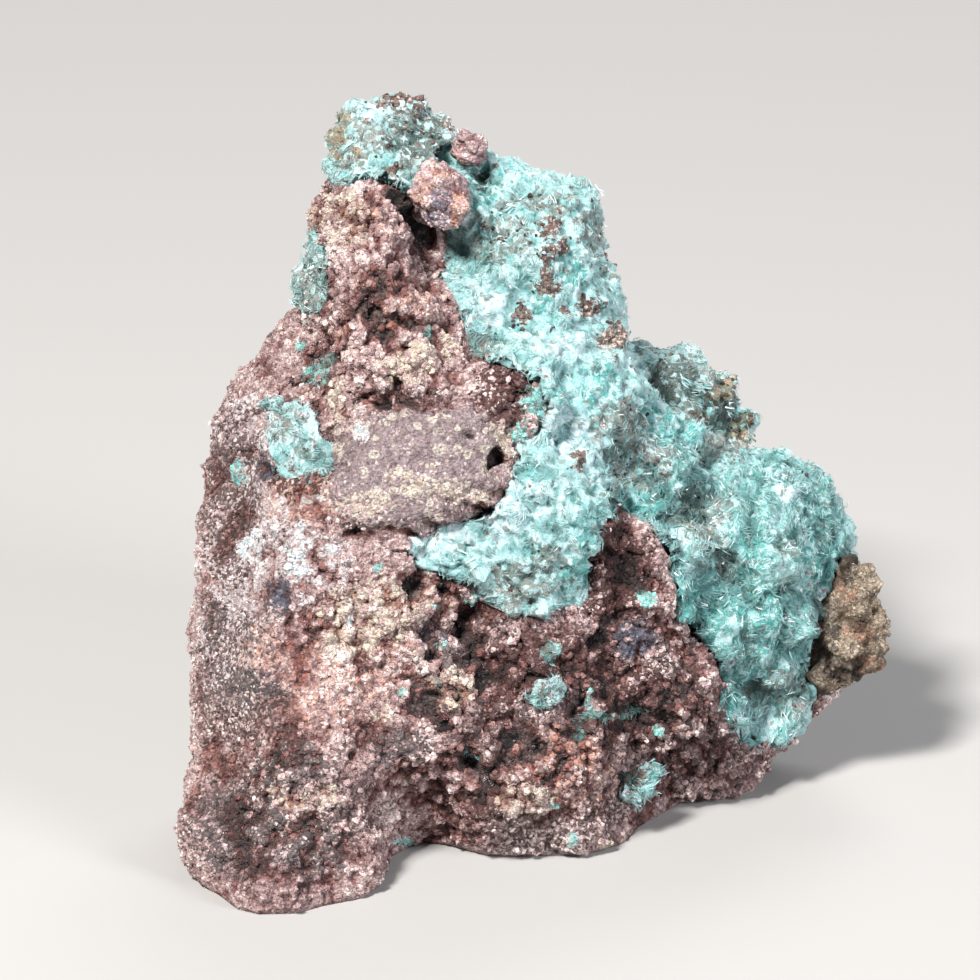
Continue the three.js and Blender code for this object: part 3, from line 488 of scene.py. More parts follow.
def roughen(obj, layers, swell=0.0, sinks=(), fill=0.0, shrink=0.0):
    """Raises rounded lumps along the normal. A layer is a spacing, a height, and the mark it needs.

    swell is a broad rise and fall, sinks are marks and the depths that they go in, and fill what
    the skin gains where it is bedded, to close the seam. The open part is lowered by shrink. Every
    skin is also pulled about by the same waves, so that borders are ragged and neighbours still
    meet. The relief is kept as an attribute, from 0 in the pits to 1 on the tops.
    """
    tree, mesh, way_out = new_tree("relief_of_" + obj.name)
    place = add(tree, "GeometryNodeInputPosition")
    waves = add(tree, "ShaderNodeTexNoise",
                {"Vector": place, "Scale": 1 / (SWELL_LENGTH * MM), "Detail": 2.0})
    height = add(tree, "ShaderNodeMapRange", {0: waves, 1: 0.25, 2: 0.75, 3: -swell, 4: swell})
    for index, (spacing, rise, where) in enumerate(layers):
        shifted = add(tree, "ShaderNodeVectorMath", {0: place, 1: (0.013 * index, 0.007 * index, 0.005)})
        cells = add(tree, "ShaderNodeTexVoronoi", {"Vector": shifted, "Scale": 1 / (spacing * MM)})
        lump = add(tree, "ShaderNodeMapRange",
                   {0: cells, 1: 0.05, 2: 0.85, 3: rise * LUMP_UP, 4: -rise * LUMP_DOWN},
                   interpolation_type="SMOOTHSTEP")
        share = add(tree, "GeometryNodeInputNamedAttribute", {0: where}) if where else 1.0
        height = add(tree, "ShaderNodeMath", {0: lump, 1: share, 2: height}, operation="MULTIPLY_ADD")
    for name, depth in sinks:
        sunk = add(tree, "GeometryNodeInputNamedAttribute", {0: name})
        height = add(tree, "ShaderNodeMath", {0: sunk, 1: -depth, 2: height}, operation="MULTIPLY_ADD")
    covered = add(tree, "GeometryNodeInputNamedAttribute", {0: "covered"})
    lowered = add(tree, "ShaderNodeMath", {0: height, 1: shrink}, operation="SUBTRACT")
    closing = add(tree, "ShaderNodeMath", {0: fill, 1: lowered}, operation="SUBTRACT")
    rise = add(tree, "ShaderNodeMath", {0: covered, 1: closing, 2: lowered}, operation="MULTIPLY_ADD")
    lift = add(tree, "ShaderNodeVectorMath", {0: add(tree, "GeometryNodeInputNormal"), 3: rise},
               operation="SCALE")
    swirl = add(tree, "ShaderNodeTexNoise",
                {"Vector": place, "Scale": 1 / (WARP_LENGTH * MM), "Detail": 2.0}, give=1)
    swirl = add(tree, "ShaderNodeVectorMath", {0: swirl, 1: (0.5, 0.5, 0.5)}, operation="SUBTRACT")
    wander = add(tree, "GeometryNodeInputNamedAttribute", {0: "wander"})
    wander = add(tree, "ShaderNodeMath", {0: wander, 1: WARP * 2}, operation="MULTIPLY")
    swirl = add(tree, "ShaderNodeVectorMath", {0: swirl, 3: wander}, operation="SCALE")
    offset = add(tree, "ShaderNodeVectorMath", {0: lift, 1: swirl})
    bare = add(tree, "GeometryNodeInputNamedAttribute", {0: "bare"})
    footed = add(tree, "ShaderNodeMapRange", {0: bare, 3: MM, 4: 0.0})
    offset = add(tree, "ShaderNodeVectorMath", {0: offset, 3: footed}, operation="SCALE")
    kept = add(tree, "ShaderNodeMapRange", {0: height, 1: -0.75, 2: 0.4})
    stored = add(tree, "GeometryNodeStoreNamedAttribute", {0: mesh, 2: "relief", 3: kept},
                 data_type="FLOAT", domain="POINT")
    moved = add(tree, "GeometryNodeSetPosition", {0: stored, 3: offset})
    above = add(tree, "ShaderNodeVectorMath", {0: place, 1: (-1, -1, 0)}, operation="MAXIMUM")
    stood = add(tree, "GeometryNodeSetPosition", {0: moved, 2: above})
    tree.links.new(stood, way_out.inputs[0])
    apply_modifier(obj, "NODES", node_group=tree)


# ---------------------------------------------------------------- grains and needles

draws = np.random.default_rng(11)

# How many kinds of chip or bead there are, and of each fan.
GRAIN_KINDS = 10
FAN_KINDS = 6
LATH_KINDS = 4


def shelf(name):
    """A collection for the shapes that are modelled once and copied over the specimen."""
    made = bpy.data.collections.new(name)
    bpy.context.scene.collection.children.link(made)
    return made


def put_on(obj, collection):
    """Moves a shape to its shelf."""
    for old in list(obj.users_collection):
        old.objects.unlink(obj)
    collection.objects.link(obj)


def model_grains(collection):
    """Broken crystal grains, one unit across: chips with eight facets, no two alike."""
    for index in range(GRAIN_KINDS):
        bpy.ops.object.select_all(action="DESELECT")
        bpy.ops.mesh.primitive_uv_sphere_add(segments=4, ring_count=2, radius=0.56)
        grain = bpy.context.object
        grain.name = f"grain_{index}"
        edit_all()
        bpy.ops.transform.vertex_random(offset=0.17, seed=index)
        bpy.ops.object.mode_set(mode="OBJECT")
        if index % 2:
            bpy.ops.object.shade_smooth()
        put_on(grain, collection)


def model_beads(collection):
    """Rounded crumbs of a botryoidal crust, one unit across and uneven."""
    for index in range(GRAIN_KINDS):
        bpy.ops.object.select_all(action="DESELECT")
        bpy.ops.mesh.primitive_ico_sphere_add(subdivisions=1, radius=0.5)
        bead = bpy.context.object
        bead.name = f"bead_{index}"
        edit_all()
        bpy.ops.transform.vertex_random(offset=0.26, seed=index + 40)
        bpy.ops.transform.resize(value=(1, 0.7 + 0.05 * index, 1.15), orient_type="GLOBAL")
        bpy.ops.object.mode_set(mode="OBJECT")
        if index % 3:
            bpy.ops.object.shade_smooth()
        put_on(bead, collection)


def model_needle(name, width, thickness):
    """One three-sided needle a unit long, from its root at the origin to a pointed tip."""
    bpy.ops.object.select_all(action="DESELECT")
    bpy.ops.mesh.primitive_cone_add(vertices=3, radius1=width / 2, depth=1, location=(0, 0, 0.5))
    needle = bpy.context.object
    needle.name = name
    edit_all()
    bpy.ops.transform.resize(value=(1, thickness / width, 1), orient_type="GLOBAL")
    bpy.ops.object.mode_set(mode="OBJECT")
    bpy.ops.object.transform_apply(location=True, rotation=True, scale=True)
    corners, _ = surface(needle)
    store(needle, "tip", np.clip(corners[:, 2] * MM, 0, 1))
    return needle


def fan_out(needle, name, collection, count, upright, flat, spread):
    """Copies a needle into a fan and joins the copies. All angles are in degrees.

    The needles are tilted from upright to flat, and turned to either side by up to half the
    spread. Each keeps a shade of its own.
    """
    copies = []
    for index in range(count):
        copy = needle.copy()
        copy.data = needle.data.copy()
        bpy.context.scene.collection.objects.link(copy)
        store(copy, "shade", [draws.uniform(0, 1)] * len(copy.data.vertices))
        tilt = upright + (flat - upright) * math.sqrt((index + 0.5) / count)
        side = draws.uniform(-spread / 2, spread / 2)
        copy.rotation_euler = (math.radians(tilt + draws.uniform(-6, 6)), draws.uniform(-0.2, 0.2),
                               math.radians(side))
        copy.scale = (1, 1, draws.uniform(0.55, 1.0))
        copy.location = (draws.uniform(-0.4, 0.4), draws.uniform(-0.1, 0.7), draws.uniform(-0.05, 0.06))
        copies.append(copy)
    fan = join_on(*copies)
    fan.name = name
    bpy.ops.object.transform_apply(location=True, rotation=True, scale=True)
    put_on(fan, collection)


grains = shelf("grains")
model_grains(grains)
beads = shelf("beads")
model_beads(beads)

felt = shelf("felt_fans")
felt_needle = model_needle("felt_needle", NEEDLE_WIDTH, NEEDLE_WIDTH)
for variant in range(FAN_KINDS):
    fan_out(felt_needle, f"felt_fan_{variant}", felt, count=9, upright=45, flat=92, spread=90)

blades = shelf("blade_fans")
blade = model_needle("blade", BLADE_WIDTH, BLADE_THICKNESS)
for variant in range(FAN_KINDS):
    fan_out(blade, f"blade_fan_{variant}", blades, count=9, upright=55, flat=95, spread=60)

laths = shelf("single_laths")
for variant in range(LATH_KINDS):
    fan_out(blade, f"lath_{variant}", laths, count=2, upright=65, flat=90, spread=30)


# ---------------------------------------------------------------- scattering

def scatter(ground, name, shapes, material, per_mm2, size, seed, full=1.0, where=None,
            tilt=None, combed=2.4, sink=0.0):
    """Copies shapes over a ground, and returns them joined as one piece.

    full is the share of the density before the marks in where are weighed in. Grains are turned
    anyhow, and are finer where the ground isn't rough. Fans have a tilt, the most in degrees that
    one leans from the surface's normal, and lie combed: neighbours point nearly the same way, in
    locks of the given size. sink is how deep the roots go in.
    """
    piece = bpy.data.objects.new(name, ground.data.copy())
    bpy.context.scene.collection.objects.link(piece)
    piece.data.materials.clear()
    tree, mesh, way_out = new_tree("scatter_" + name)
    share = full
    for mark_name, weight in (where or {}).items():
        amount = add(tree, "GeometryNodeInputNamedAttribute", {0: mark_name})
        share = add(tree, "ShaderNodeMath", {0: amount, 1: weight, 2: share}, operation="MULTIPLY_ADD")
    share = add(tree, "ShaderNodeClamp", {0: share})
    points = add(tree, "GeometryNodeDistributePointsOnFaces",
                 {0: mesh, 2: CLOSEST * MM / math.sqrt(per_mm2), 3: per_mm2 / MM ** 2, 5: share, 6: seed},
                 distribute_method="POISSON")
    normal, upright = points.node.outputs[1], points.node.outputs[2]
    if tilt is None:
        turning = add(tree, "FunctionNodeRandomValue", {1: (TURN, TURN, TURN), 8: seed + 1},
                      data_type="FLOAT_VECTOR")
        rotation = add(tree, "FunctionNodeEulerToRotation", {0: turning})
    else:
        lean = math.radians(tilt)
        leaning = add(tree, "FunctionNodeRandomValue",
                      {0: (-lean, -lean, -STRAY_HEADING), 1: (lean, lean, STRAY_HEADING), 8: seed + 1},
                      data_type="FLOAT_VECTOR")
        locks = add(tree, "ShaderNodeTexNoise", {"Scale": 1 / (combed * MM), "Detail": 1.0})
        heading = add(tree, "ShaderNodeMapRange",
                      {0: locks, 1: 0.25, 2: 0.75, 3: -LOCK_SWING, 4: LOCK_SWING})
        heading = add(tree, "ShaderNodeCombineXYZ", {2: heading})
        turning = add(tree, "ShaderNodeVectorMath", {0: leaning, 1: heading})
        rotation = add(tree, "FunctionNodeRotateRotation", {0: upright, 1: turning}, rotation_space="LOCAL")
    draw = add(tree, "FunctionNodeRandomValue", {8: seed + 2}, give=1)
    draw = add(tree, "ShaderNodeMath", {0: draw, 1: SMALL_BIAS}, operation="POWER")
    sizing = add(tree, "ShaderNodeMapRange", {0: draw, 3: size[0] * MM, 4: size[1] * MM})
    rough = add(tree, "GeometryNodeInputNamedAttribute", {0: "rough"})
    finer = add(tree, "ShaderNodeMapRange", {0: rough, 1: 0.25, 2: 0.8, 3: 0.55, 4: 1.0})
    sizing = add(tree, "ShaderNodeMath", {0: sizing, 1: finer}, operation="MULTIPLY")
    pushed = add(tree, "ShaderNodeVectorMath", {0: normal, 3: -sink * MM}, operation="SCALE")
    placed = add(tree, "GeometryNodeSetPosition", {0: points, 3: pushed})
    chosen = add(tree, "GeometryNodeCollectionInfo", {0: shapes, 1: True, 2: True})
    picked = add(tree, "FunctionNodeRandomValue", {4: 0, 5: len(shapes.objects) - 1, 8: seed + 3}, give=2,
                 data_type="INT")
    toned = add(tree, "GeometryNodeInstanceOnPoints",
                {0: placed, 2: chosen, 3: True, 4: picked, 5: rotation, 6: sizing})
    for index, layer in enumerate(("tone", "lot")):
        drawn = add(tree, "FunctionNodeRandomValue", {8: seed + 4 + index}, give=1)
        toned = add(tree, "GeometryNodeStoreNamedAttribute", {0: toned, 2: layer, 3: drawn},
                    data_type="FLOAT", domain="INSTANCE")
    real = add(tree, "GeometryNodeRealizeInstances", {0: toned})
    tree.links.new(real, way_out.inputs[0])
    apply_modifier(piece, "NODES", node_group=tree)
    return lay(piece, material)


# ---------------------------------------------------------------- materials

# Sizes of the patterns in the rock: one crystal, a patch of one tone, how far a stain's edge frays,
# a stain on the sides, and the sway of the rings. Sugary facets are finer in a real grain.
CRYSTAL = 0.2
TONE_PATCH = 3.5
STAIN_FRAY = 0.9
SIDE_STAIN = 4.5
RING_SWAY = 0.4
SUGAR = 0.13

# Sizes in the felt: a spot of one tone, a bundle of needles, one needle in it, a paler or deeper
# patch, and how far an edge frays. A real needle is finer, and is drawn coarser so that it shows.
FELT_SPOT = 0.35
BUNDLE = 0.6
STREAK = 0.06
FELT_PATCH = 1.1
FELT_FRAY = 0.7


def shader(name, even):
    """A material with one Principled shader, and the place on the piece that its patterns read.

    even holds what is the same all over, and is set on the shader's own sockets.
    """
    material = bpy.data.materials.new(name)
    material.use_nodes = True
    tree = material.node_tree
    finish = tree.nodes["Principled BSDF"]
    for socket, value in even.items():
        finish.inputs[socket].default_value = value
    return material, tree, finish, add(tree, "ShaderNodeTexCoord", give="Object")


def own_or_cell(tree, place, loose, size):
    """Two even draws from 0 to 1, of each loose grain or of each cell of a ground.

    size is how large the cells are. The third value grows from the middle of a cell outwards.
    """
    if loose:
        return (add(tree, "ShaderNodeAttribute", give="Fac", attribute_name="tone"),
                add(tree, "ShaderNodeAttribute", give="Fac", attribute_name="lot"), None)
    cells = add(tree, "ShaderNodeTexVoronoi", {"Vector": place, "Scale": 1 / (size * MM)})
    parts = add(tree, "ShaderNodeSeparateColor", {0: cells.node.outputs[1]})
    return parts, parts.node.outputs[1], cells


def take_marks(tree, place, result, marks, tone, lot, frayed, spread=None):
    """Lays marks over a colour. A mark has its dark, its light and the share of grains it takes.

    frayed is how far a mark's edge strays, and spread the share of the sides and back that a
    mark covers in patches of its own.
    """
    ragged = add(tree, "ShaderNodeTexNoise", {"Vector": place, "Scale": 1 / (frayed * MM), "Detail": 4.0})
    ragged = add(tree, "ShaderNodeMapRange", {0: ragged, 3: -0.45, 4: 0.45})
    for index, (name, dark, light, strength) in enumerate(marks):
        amount = add(tree, "ShaderNodeAttribute", give="Fac", attribute_name=name)
        share = (spread or {}).get(name)
        if share:
            patches = add(tree, "ShaderNodeTexNoise",
                          {"Vector": place, "W": 10.0 + index, "Scale": 1 / (SIDE_STAIN * MM)},
                          noise_dimensions="4D")
            patches = add(tree, "ShaderNodeMapRange", {0: patches, 1: 0.74 - share, 2: 0.86 - share})
            away = add(tree, "ShaderNodeAttribute", give="Fac", attribute_name="away")
            amount = add(tree, "ShaderNodeMath", {0: patches, 1: away, 2: amount}, operation="MULTIPLY_ADD")
        amount = add(tree, "ShaderNodeMath", {0: amount, 1: ragged})
        amount = add(tree, "ShaderNodeMapRange", {0: amount, 1: 0.12, 2: 0.8, 4: strength},
                     interpolation_type="SMOOTHSTEP")
        amount = add(tree, "ShaderNodeMath", {0: amount, 1: lot}, operation="SUBTRACT")
        taken = add(tree, "ShaderNodeMapRange", {0: amount, 1: 0.0, 2: 0.15},
                    interpolation_type="SMOOTHSTEP")
        marked = add(tree, "ShaderNodeValToRGB", {0: tone}, stops=[(0.05, dark), (0.95, light)])
        result = add(tree, "ShaderNodeMix", {0: taken, 6: result, 7: marked}, give=2, data_type="RGBA")
    return result


def ring_scars(tree, place, tone, result, size, dark, light):
    """Lays pale rings over the plate, where round crystals have broken off. size is their spacing."""
    sway = add(tree, "ShaderNodeTexNoise", {"Vector": place, "Scale": 1 / (RING_SWAY * MM), "Detail": 3.0},
               give=1)
    sway = add(tree, "ShaderNodeVectorMath", {0: sway, 3: 0.45 * MM}, operation="SCALE")
    swayed = add(tree, "ShaderNodeVectorMath", {0: place, 1: sway})
    ring = add(tree, "ShaderNodeTexVoronoi", {"Vector": swayed, "Scale": 1 / (size * MM)})
    chosen = add(tree, "ShaderNodeSeparateColor", {0: ring.node.outputs[1]})
    wider = add(tree, "ShaderNodeMapRange", {0: chosen.node.outputs[1], 3: 0.75, 4: 2.4})
    scar = add(tree, "ShaderNodeMath", {0: ring, 1: wider}, operation="MULTIPLY")
    scar = add(tree, "ShaderNodeValToRGB", {0: scar},
               stops=[(0.12, light), (0.22, dark), (0.3, light), (0.5, light), (0.62, dark)])
    ripe = add(tree, "ShaderNodeMapRange", {0: tone, 1: 0.1, 2: 0.5, 3: 0.35})
    scar = add(tree, "ShaderNodeMix", {0: ripe, 6: colour(dark), 7: scar}, give=2, data_type="RGBA")
    plate = add(tree, "ShaderNodeAttribute", give="Fac", attribute_name="plate")
    plate = add(tree, "ShaderNodeMath", {0: plate, 1: chosen}, operation="MULTIPLY")
    plate = add(tree, "ShaderNodeMapRange", {0: plate, 1: 0.26, 2: 0.36, 4: 0.7})
    fringe = add(tree, "ShaderNodeMapRange", {0: ring, 1: 0.56, 2: 0.4})
    plate = add(tree, "ShaderNodeMath", {0: plate, 1: fringe}, operation="MULTIPLY")
    return add(tree, "ShaderNodeMix", {0: plate, 6: result, 7: scar}, give=2, data_type="RGBA")


def stone_material(name, tones, marks, spread=None, loose=False, crumb=0.5, rings=None,
                   crevice_shade="#a5604f"):
    """Weathered rock. tones is its run of colours from the darkest grains to the palest.

    loose is for separate grains. crumb is the size of its lumps in mm, crevice the tint of the painted
    shade between them, and rings the spacing, dark and light of the rings on the plate.
    """
    material, tree, finish, place = shader(name, {"Specular IOR Level": 0.6})
    tone, lot, outwards = own_or_cell(tree, place, loose, CRYSTAL)
    crumbs = add(tree, "ShaderNodeTexNoise",
                 {"Vector": place, "Scale": 1 / (crumb * MM), "Detail": 5.0, "Roughness": 0.7})
    crumbs = add(tree, "ShaderNodeMapRange", {0: crumbs, 1: 0.3, 2: 0.7})
    tone = add(tree, "ShaderNodeMix", {0: 0.66, 2: tone, 3: crumbs})
    relief = add(tree, "ShaderNodeAttribute", give="Fac", attribute_name="relief")
    broad = add(tree, "ShaderNodeTexNoise",
                {"Vector": place, "Scale": 1 / (TONE_PATCH * MM), "Detail": 3.0})
    broad = add(tree, "ShaderNodeMapRange", {0: broad, 1: 0.0, 2: 1.0, 3: -0.5, 4: 0.4})
    # Painted light and shade: high places of the relief are made paler and low places darker.
    broad = add(tree, "ShaderNodeMath", {0: relief, 1: 0.3, 2: broad}, operation="MULTIPLY_ADD")
    mixed = add(tree, "ShaderNodeMath", {0: tone, 1: 0.95, 2: broad}, operation="MULTIPLY_ADD")
    result = add(tree, "ShaderNodeValToRGB", {0: mixed}, stops=tones)
    result = take_marks(tree, place, result, marks, tone, lot, STAIN_FRAY, spread)
    if rings:
        result = ring_scars(tree, place, tone, result, *rings)
    glossy = add(tree, "ShaderNodeMapRange", {0: lot, 1: 0.84, 2: 0.9, 3: 0.82, 4: 0.26 if loose else 0.45})
    # Painted shade: the low places of the relief are darkened, down to near black in the pits.
    relief_shade = add(tree, "ShaderNodeValToRGB", {0: relief},
                  stops=[(0.0, "#2c1f1e"), (0.27, crevice_shade), (0.52, "#ffffff")])
    result = add(tree, "ShaderNodeMix", {0: 0.8, 6: result, 7: relief_shade}, give=2,
                 data_type="RGBA", blend_type="MULTIPLY")
    if loose:
        sugar = add(tree, "ShaderNodeTexVoronoi", {"Vector": place, "Scale": 1 / (SUGAR * MM)})
        bump = add(tree, "ShaderNodeBump", {"Strength": 1.0, "Distance": 0.12 * MM, "Height": sugar},
                   invert=True)
    else:
        bump = add(tree, "ShaderNodeBump", {"Strength": 1.0, "Distance": 0.22 * MM, "Height": crumbs})
        bump = add(tree, "ShaderNodeBump",
                   {"Strength": 1.0, "Distance": 0.16 * MM, "Height": outwards, "Normal": bump},
                   invert=True)
    tree.links.new(bump, finish.inputs["Normal"])
    tree.links.new(result, finish.inputs["Base Color"])
    tree.links.new(glossy, finish.inputs["Roughness"])
    return material


# Gossan: quartz and iron oxides left when ore weathers away, broken by hand. It is dull and
# earthy, pink-brown to dark red, with pale crystal grains that catch the light. A mark has its name,
# its dark, its light and the share of grains that it takes.
GOSSAN_TONES = [(0.0, "#211617"), (0.24, "#5d4444"), (0.45, "#917372"), (0.7, "#b99e9b"), (0.97, "#ecdfda")]
GOSSAN_MARKS = [
    ("plate", "#54424a", "#b3a1a1", 0.95),
    ("mauve", "#7d686c", "#f1e9e9", 0.84),
    # This dark grey-brown mark is partly the rock's own tone and partly painted shade.
    ("umber", "#291e1e", "#826b68", 0.62),
    ("red", "#33201f", "#744f4b", 0.85),
    ("orange", "#9a5546", "#dfc6b8", 0.4),
    ("cream", "#978472", "#e8dccb", 0.62),
    ("stain", "#332b2a", "#7d7070", 0.8),
    ("ink", "#1f1f27", "#737282", 0.88),
    ("powder", "#b8c9ce", "#eff6f7", 0.92),
    ("teal", "#3f9a95", "#b9e6df", 0.8),
    # The pits are painted near black, as shade.
    ("vug", "#150f0f", "#4d3a37", 0.9),
    ("brown", "#45332b", "#b39a83", 0.95),
]
PLATE_RINGS = (0.9, "#857371", "#dcd2c2")
GOSSAN_SPREAD = {"orange": 0.17, "cream": 0.13, "stain": 0.16, "red": 0.16, "teal": 0.05}
gossan_ground = stone_material("gossan_weathered", GOSSAN_TONES, GOSSAN_MARKS, GOSSAN_SPREAD,
                               rings=PLATE_RINGS)
gossan_grains = stone_material("gossan_crystal_grains", GOSSAN_TONES, GOSSAN_MARKS, GOSSAN_SPREAD,
                               loose=True, rings=PLATE_RINGS)

# Iron-stained nodules: botryoidal limonite and hematite, grown in round layers. They look purple-grey
# with rusty sides, and are smoother than the gossan.
NODULE_TONES = [(0.0, "#3c2d2f"), (0.33, "#7a6264"), (0.62, "#ae9193"), (0.97, "#ecd8d1")]
NODULE_MARKS = [("rust", "#965f4f", "#ecc9b5", 0.68), ("blue", "#47434d", "#918b98", 0.7)]
nodule_ground = stone_material("limonite_nodule", NODULE_TONES, NODULE_MARKS, {"rust": 0.15}, crumb=0.7)
nodule_grains = stone_material("limonite_grains", NODULE_TONES, NODULE_MARKS, {"rust": 0.15}, loose=True)

# Ochre: earthy yellow iron oxide, settled in a sandy crumb. It looks dull and tan, with dark marks.
OCHRE_TONES = [(0.0, "#221c19"), (0.3, "#54473b"), (0.65, "#857563"), (1.0, "#c4b5a0")]
OCHRE_MARKS = [("rust", "#7a5240", "#bb9078", 0.5), ("soot", "#2b2723", "#70675c", 0.7)]
ochre_ground = stone_material("ochre_crumb", OCHRE_TONES, OCHRE_MARKS, {"soot": 0.08}, crevice_shade="#8a6f50")
ochre_grains = stone_material("ochre_grains", OCHRE_TONES, OCHRE_MARKS, {"soot": 0.08}, loose=True,
                              crevice_shade="#8a6f50")

# Umber grit: grains of iron and manganese oxide caught in the crust as it grew. They look dark
# grey-brown, with a dull gleam.
UMBER_TONES = [(0.0, "#140e0c"), (0.3, "#2c1f1b"), (0.52, "#5a4640"), (0.7, "#85706a"), (0.97, "#cdbcb0")]
umber_grit = stone_material("umber_grit", UMBER_TONES, [], loose=True, crevice_shade="#6f5c50")


def streaks(tree, place):
    """Streaks of felted needles: each bundle runs its own way."""
    cells = add(tree, "ShaderNodeTexVoronoi", {"Vector": place, "Scale": 1 / (BUNDLE * MM)}, give=1)
    way = add(tree, "ShaderNodeVectorMath", {0: cells, 1: (0.5, 0.5, 0.5)}, operation="SUBTRACT")
    way = add(tree, "ShaderNodeVectorMath", {0: way}, operation="NORMALIZE")
    along = add(tree, "ShaderNodeVectorMath", {0: place, 1: way}, give=1, operation="DOT_PRODUCT")
    along = add(tree, "ShaderNodeMath", {0: along, 1: 0.88}, operation="MULTIPLY")
    shift = add(tree, "ShaderNodeVectorMath", {0: way, 3: along}, operation="SCALE")
    across = add(tree, "ShaderNodeVectorMath", {0: place, 1: shift}, operation="SUBTRACT")
    return add(tree, "ShaderNodeTexNoise", {"Vector": across, "Scale": 1 / (STREAK * MM), "Detail": 1.0})


FELT_TONES = [(0.0, "#5ea1a1"), (0.22, "#84baba"), (0.44, "#a8cdcd"), (0.68, "#bcd7d9"), (0.95, "#dae7ea")]
FELT_MARKS = [
    ("coarse", "#459490", "#a3ccca", 0.55),
    ("deep", "#2f8a86", "#7bc0bd", 0.6),
    ("white", "#afcfd4", "#e6eff2", 0.78),
    ("grey", "#515b56", "#b1b9b5", 0.8),
    # The near-black mark is partly soot and partly painted shade, in hollows and over the rear lobe.
    ("soot", "#141c1a", "#7f8d87", 0.88),
    ("brown", "#231713", "#8f766c", 0.85),
    ("tan", "#6d5d4c", "#bfae96", 0.9),
]
DUST_GREY = "#7d837a"
GLINT_WHITE = "#f3f9fa"


def felt_material(name, needles):
    """Aurichalcite: a zinc and copper carbonate grown as silky needles, with a pearly look.

    Needles are painted darker towards the root, as shade, and paler at the tip, and a few are painted
    white as highlights. The low places of the relief get painted shade. The ground between them is
    felted.
    """
    material, tree, finish, place = shader(name, {
        "Roughness": 0.5, "Specular IOR Level": 0.55 if needles else 0.5, "Subsurface Weight": 0.25,
        "Subsurface Radius": (0.7, 1.0, 1.0), "Subsurface Scale": 0.6 * MM, "Sheen Weight": 0.05,
        "Sheen Roughness": 0.4})
    tone, lot, _ = own_or_cell(tree, place, needles, FELT_SPOT)
    own = streaks(tree, place)
    own = add(tree, "ShaderNodeMapRange", {0: own, 1: 0.3, 2: 0.7})
    if needles:
        shade = add(tree, "ShaderNodeAttribute", give="Fac", attribute_name="shade")
        own = add(tree, "ShaderNodeMix", {0: 0.5, 2: shade, 3: own})
    tone = add(tree, "ShaderNodeMix", {0: 0.7, 2: tone, 3: own})
    broad = add(tree, "ShaderNodeTexNoise",
                {"Vector": place, "Scale": 1 / (FELT_PATCH * MM), "Detail": 5.0, "Roughness": 0.6})
    broad = add(tree, "ShaderNodeMapRange", {0: broad, 1: 0.25, 2: 0.75, 3: -0.15, 4: 0.52})
    mixed = add(tree, "ShaderNodeMath", {0: tone, 1: 0.66, 2: broad}, operation="MULTIPLY_ADD")
    result = add(tree, "ShaderNodeValToRGB", {0: mixed}, stops=FELT_TONES)
    result = take_marks(tree, place, result, FELT_MARKS, tone, lot, FELT_FRAY)
    dusty = add(tree, "ShaderNodeMapRange", {0: lot, 1: 0.06, 2: 0.12, 3: 0.8, 4: 0.0})
    result = add(tree, "ShaderNodeMix", {0: dusty, 6: result, 7: colour(DUST_GREY)}, give=2,
                 data_type="RGBA")
    relief = add(tree, "ShaderNodeAttribute", give="Fac", attribute_name="relief")
    # Painted shade: the low places of the relief are darkened.
    relief_shade = add(tree, "ShaderNodeValToRGB", {0: relief},
                  stops=[(0.0, "#4a8583"), (0.3, "#b0d3d1"), (0.5, "#ffffff")])
    result = add(tree, "ShaderNodeMix", {0: 0.5 if needles else 0.8, 6: result, 7: relief_shade}, give=2,
                 data_type="RGBA", blend_type="MULTIPLY")
    if needles:
        # Painted shade: each needle is darker towards its root.
        tip = add(tree, "ShaderNodeAttribute", give="Fac", attribute_name="tip")
        shaded = add(tree, "ShaderNodeValToRGB", {0: tip},
                     stops=[(0.0, "#9cc8c5"), (0.3, "#d8ecea"), (0.6, "#ffffff")])
        result = add(tree, "ShaderNodeMix", {0: 1.0, 6: result, 7: shaded}, give=2,
                     data_type="RGBA", blend_type="MULTIPLY")
        # Painted highlight: a few needles are coloured near white and made glossy.
        glinting = add(tree, "ShaderNodeMapRange", {0: lot, 1: 0.925, 2: 0.945})
        facing = add(tree, "ShaderNodeMapRange", {0: shade, 1: 0.45, 2: 0.55})
        glinting = add(tree, "ShaderNodeMath", {0: glinting, 1: facing}, operation="MULTIPLY")
        result = add(tree, "ShaderNodeMix", {0: glinting, 6: result, 7: colour(GLINT_WHITE)}, give=2,
                     data_type="RGBA")
        gloss = add(tree, "ShaderNodeMapRange", {0: own, 1: 0.55, 2: 0.68, 3: 0.5, 4: 0.14})
        gloss = add(tree, "ShaderNodeMix", {0: glinting, 2: gloss, 3: 0.12})
        tree.links.new(gloss, finish.inputs["Roughness"])
    else:
        bump = add(tree, "ShaderNodeBump", {"Strength": 0.9, "Distance": 0.1 * MM, "Height": own})
        tree.links.new(bump, finish.inputs["Normal"])
    tree.links.new(result, finish.inputs["Base Color"])
    return material


crust_ground = felt_material("aurichalcite_ground", needles=False)
crust_needles = felt_material("aurichalcite_needles", needles=True)

# Silvery laths: the largest aurichalcite blades, grown free and clear. They look nearly white, with a
# mirror-like glint.
silvery, tree, finish, _ = shader("silvery_laths", {"Roughness": 0.16, "Specular IOR Level": 1.0})
tip = add(tree, "ShaderNodeAttribute", give="Fac", attribute_name="tip")
shaded = add(tree, "ShaderNodeValToRGB", {0: tip}, stops=[(0.0, "#8fc2c1"), (0.6, "#e6f4f5")])
tree.links.new(shaded, finish.inputs["Base Color"])


def hand_over(obj, node=None):
    """Puts a finished piece on the specimen, in the place of its CAD node if it has one."""
    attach(obj, "root")
    if node:
        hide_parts(node)


def cover(ground, name, slot, *shapes_and_sizes, **settings):
    """Scatters shapes over a ground, and puts them on the specimen as a piece of their own."""
    hand_over(scatter(ground, name, *shapes_and_sizes, **settings))


# ---------------------------------------------------------------- gossan

GROWTHS = [n for n in frame["nodes"] if n != "gossan_matrix"]

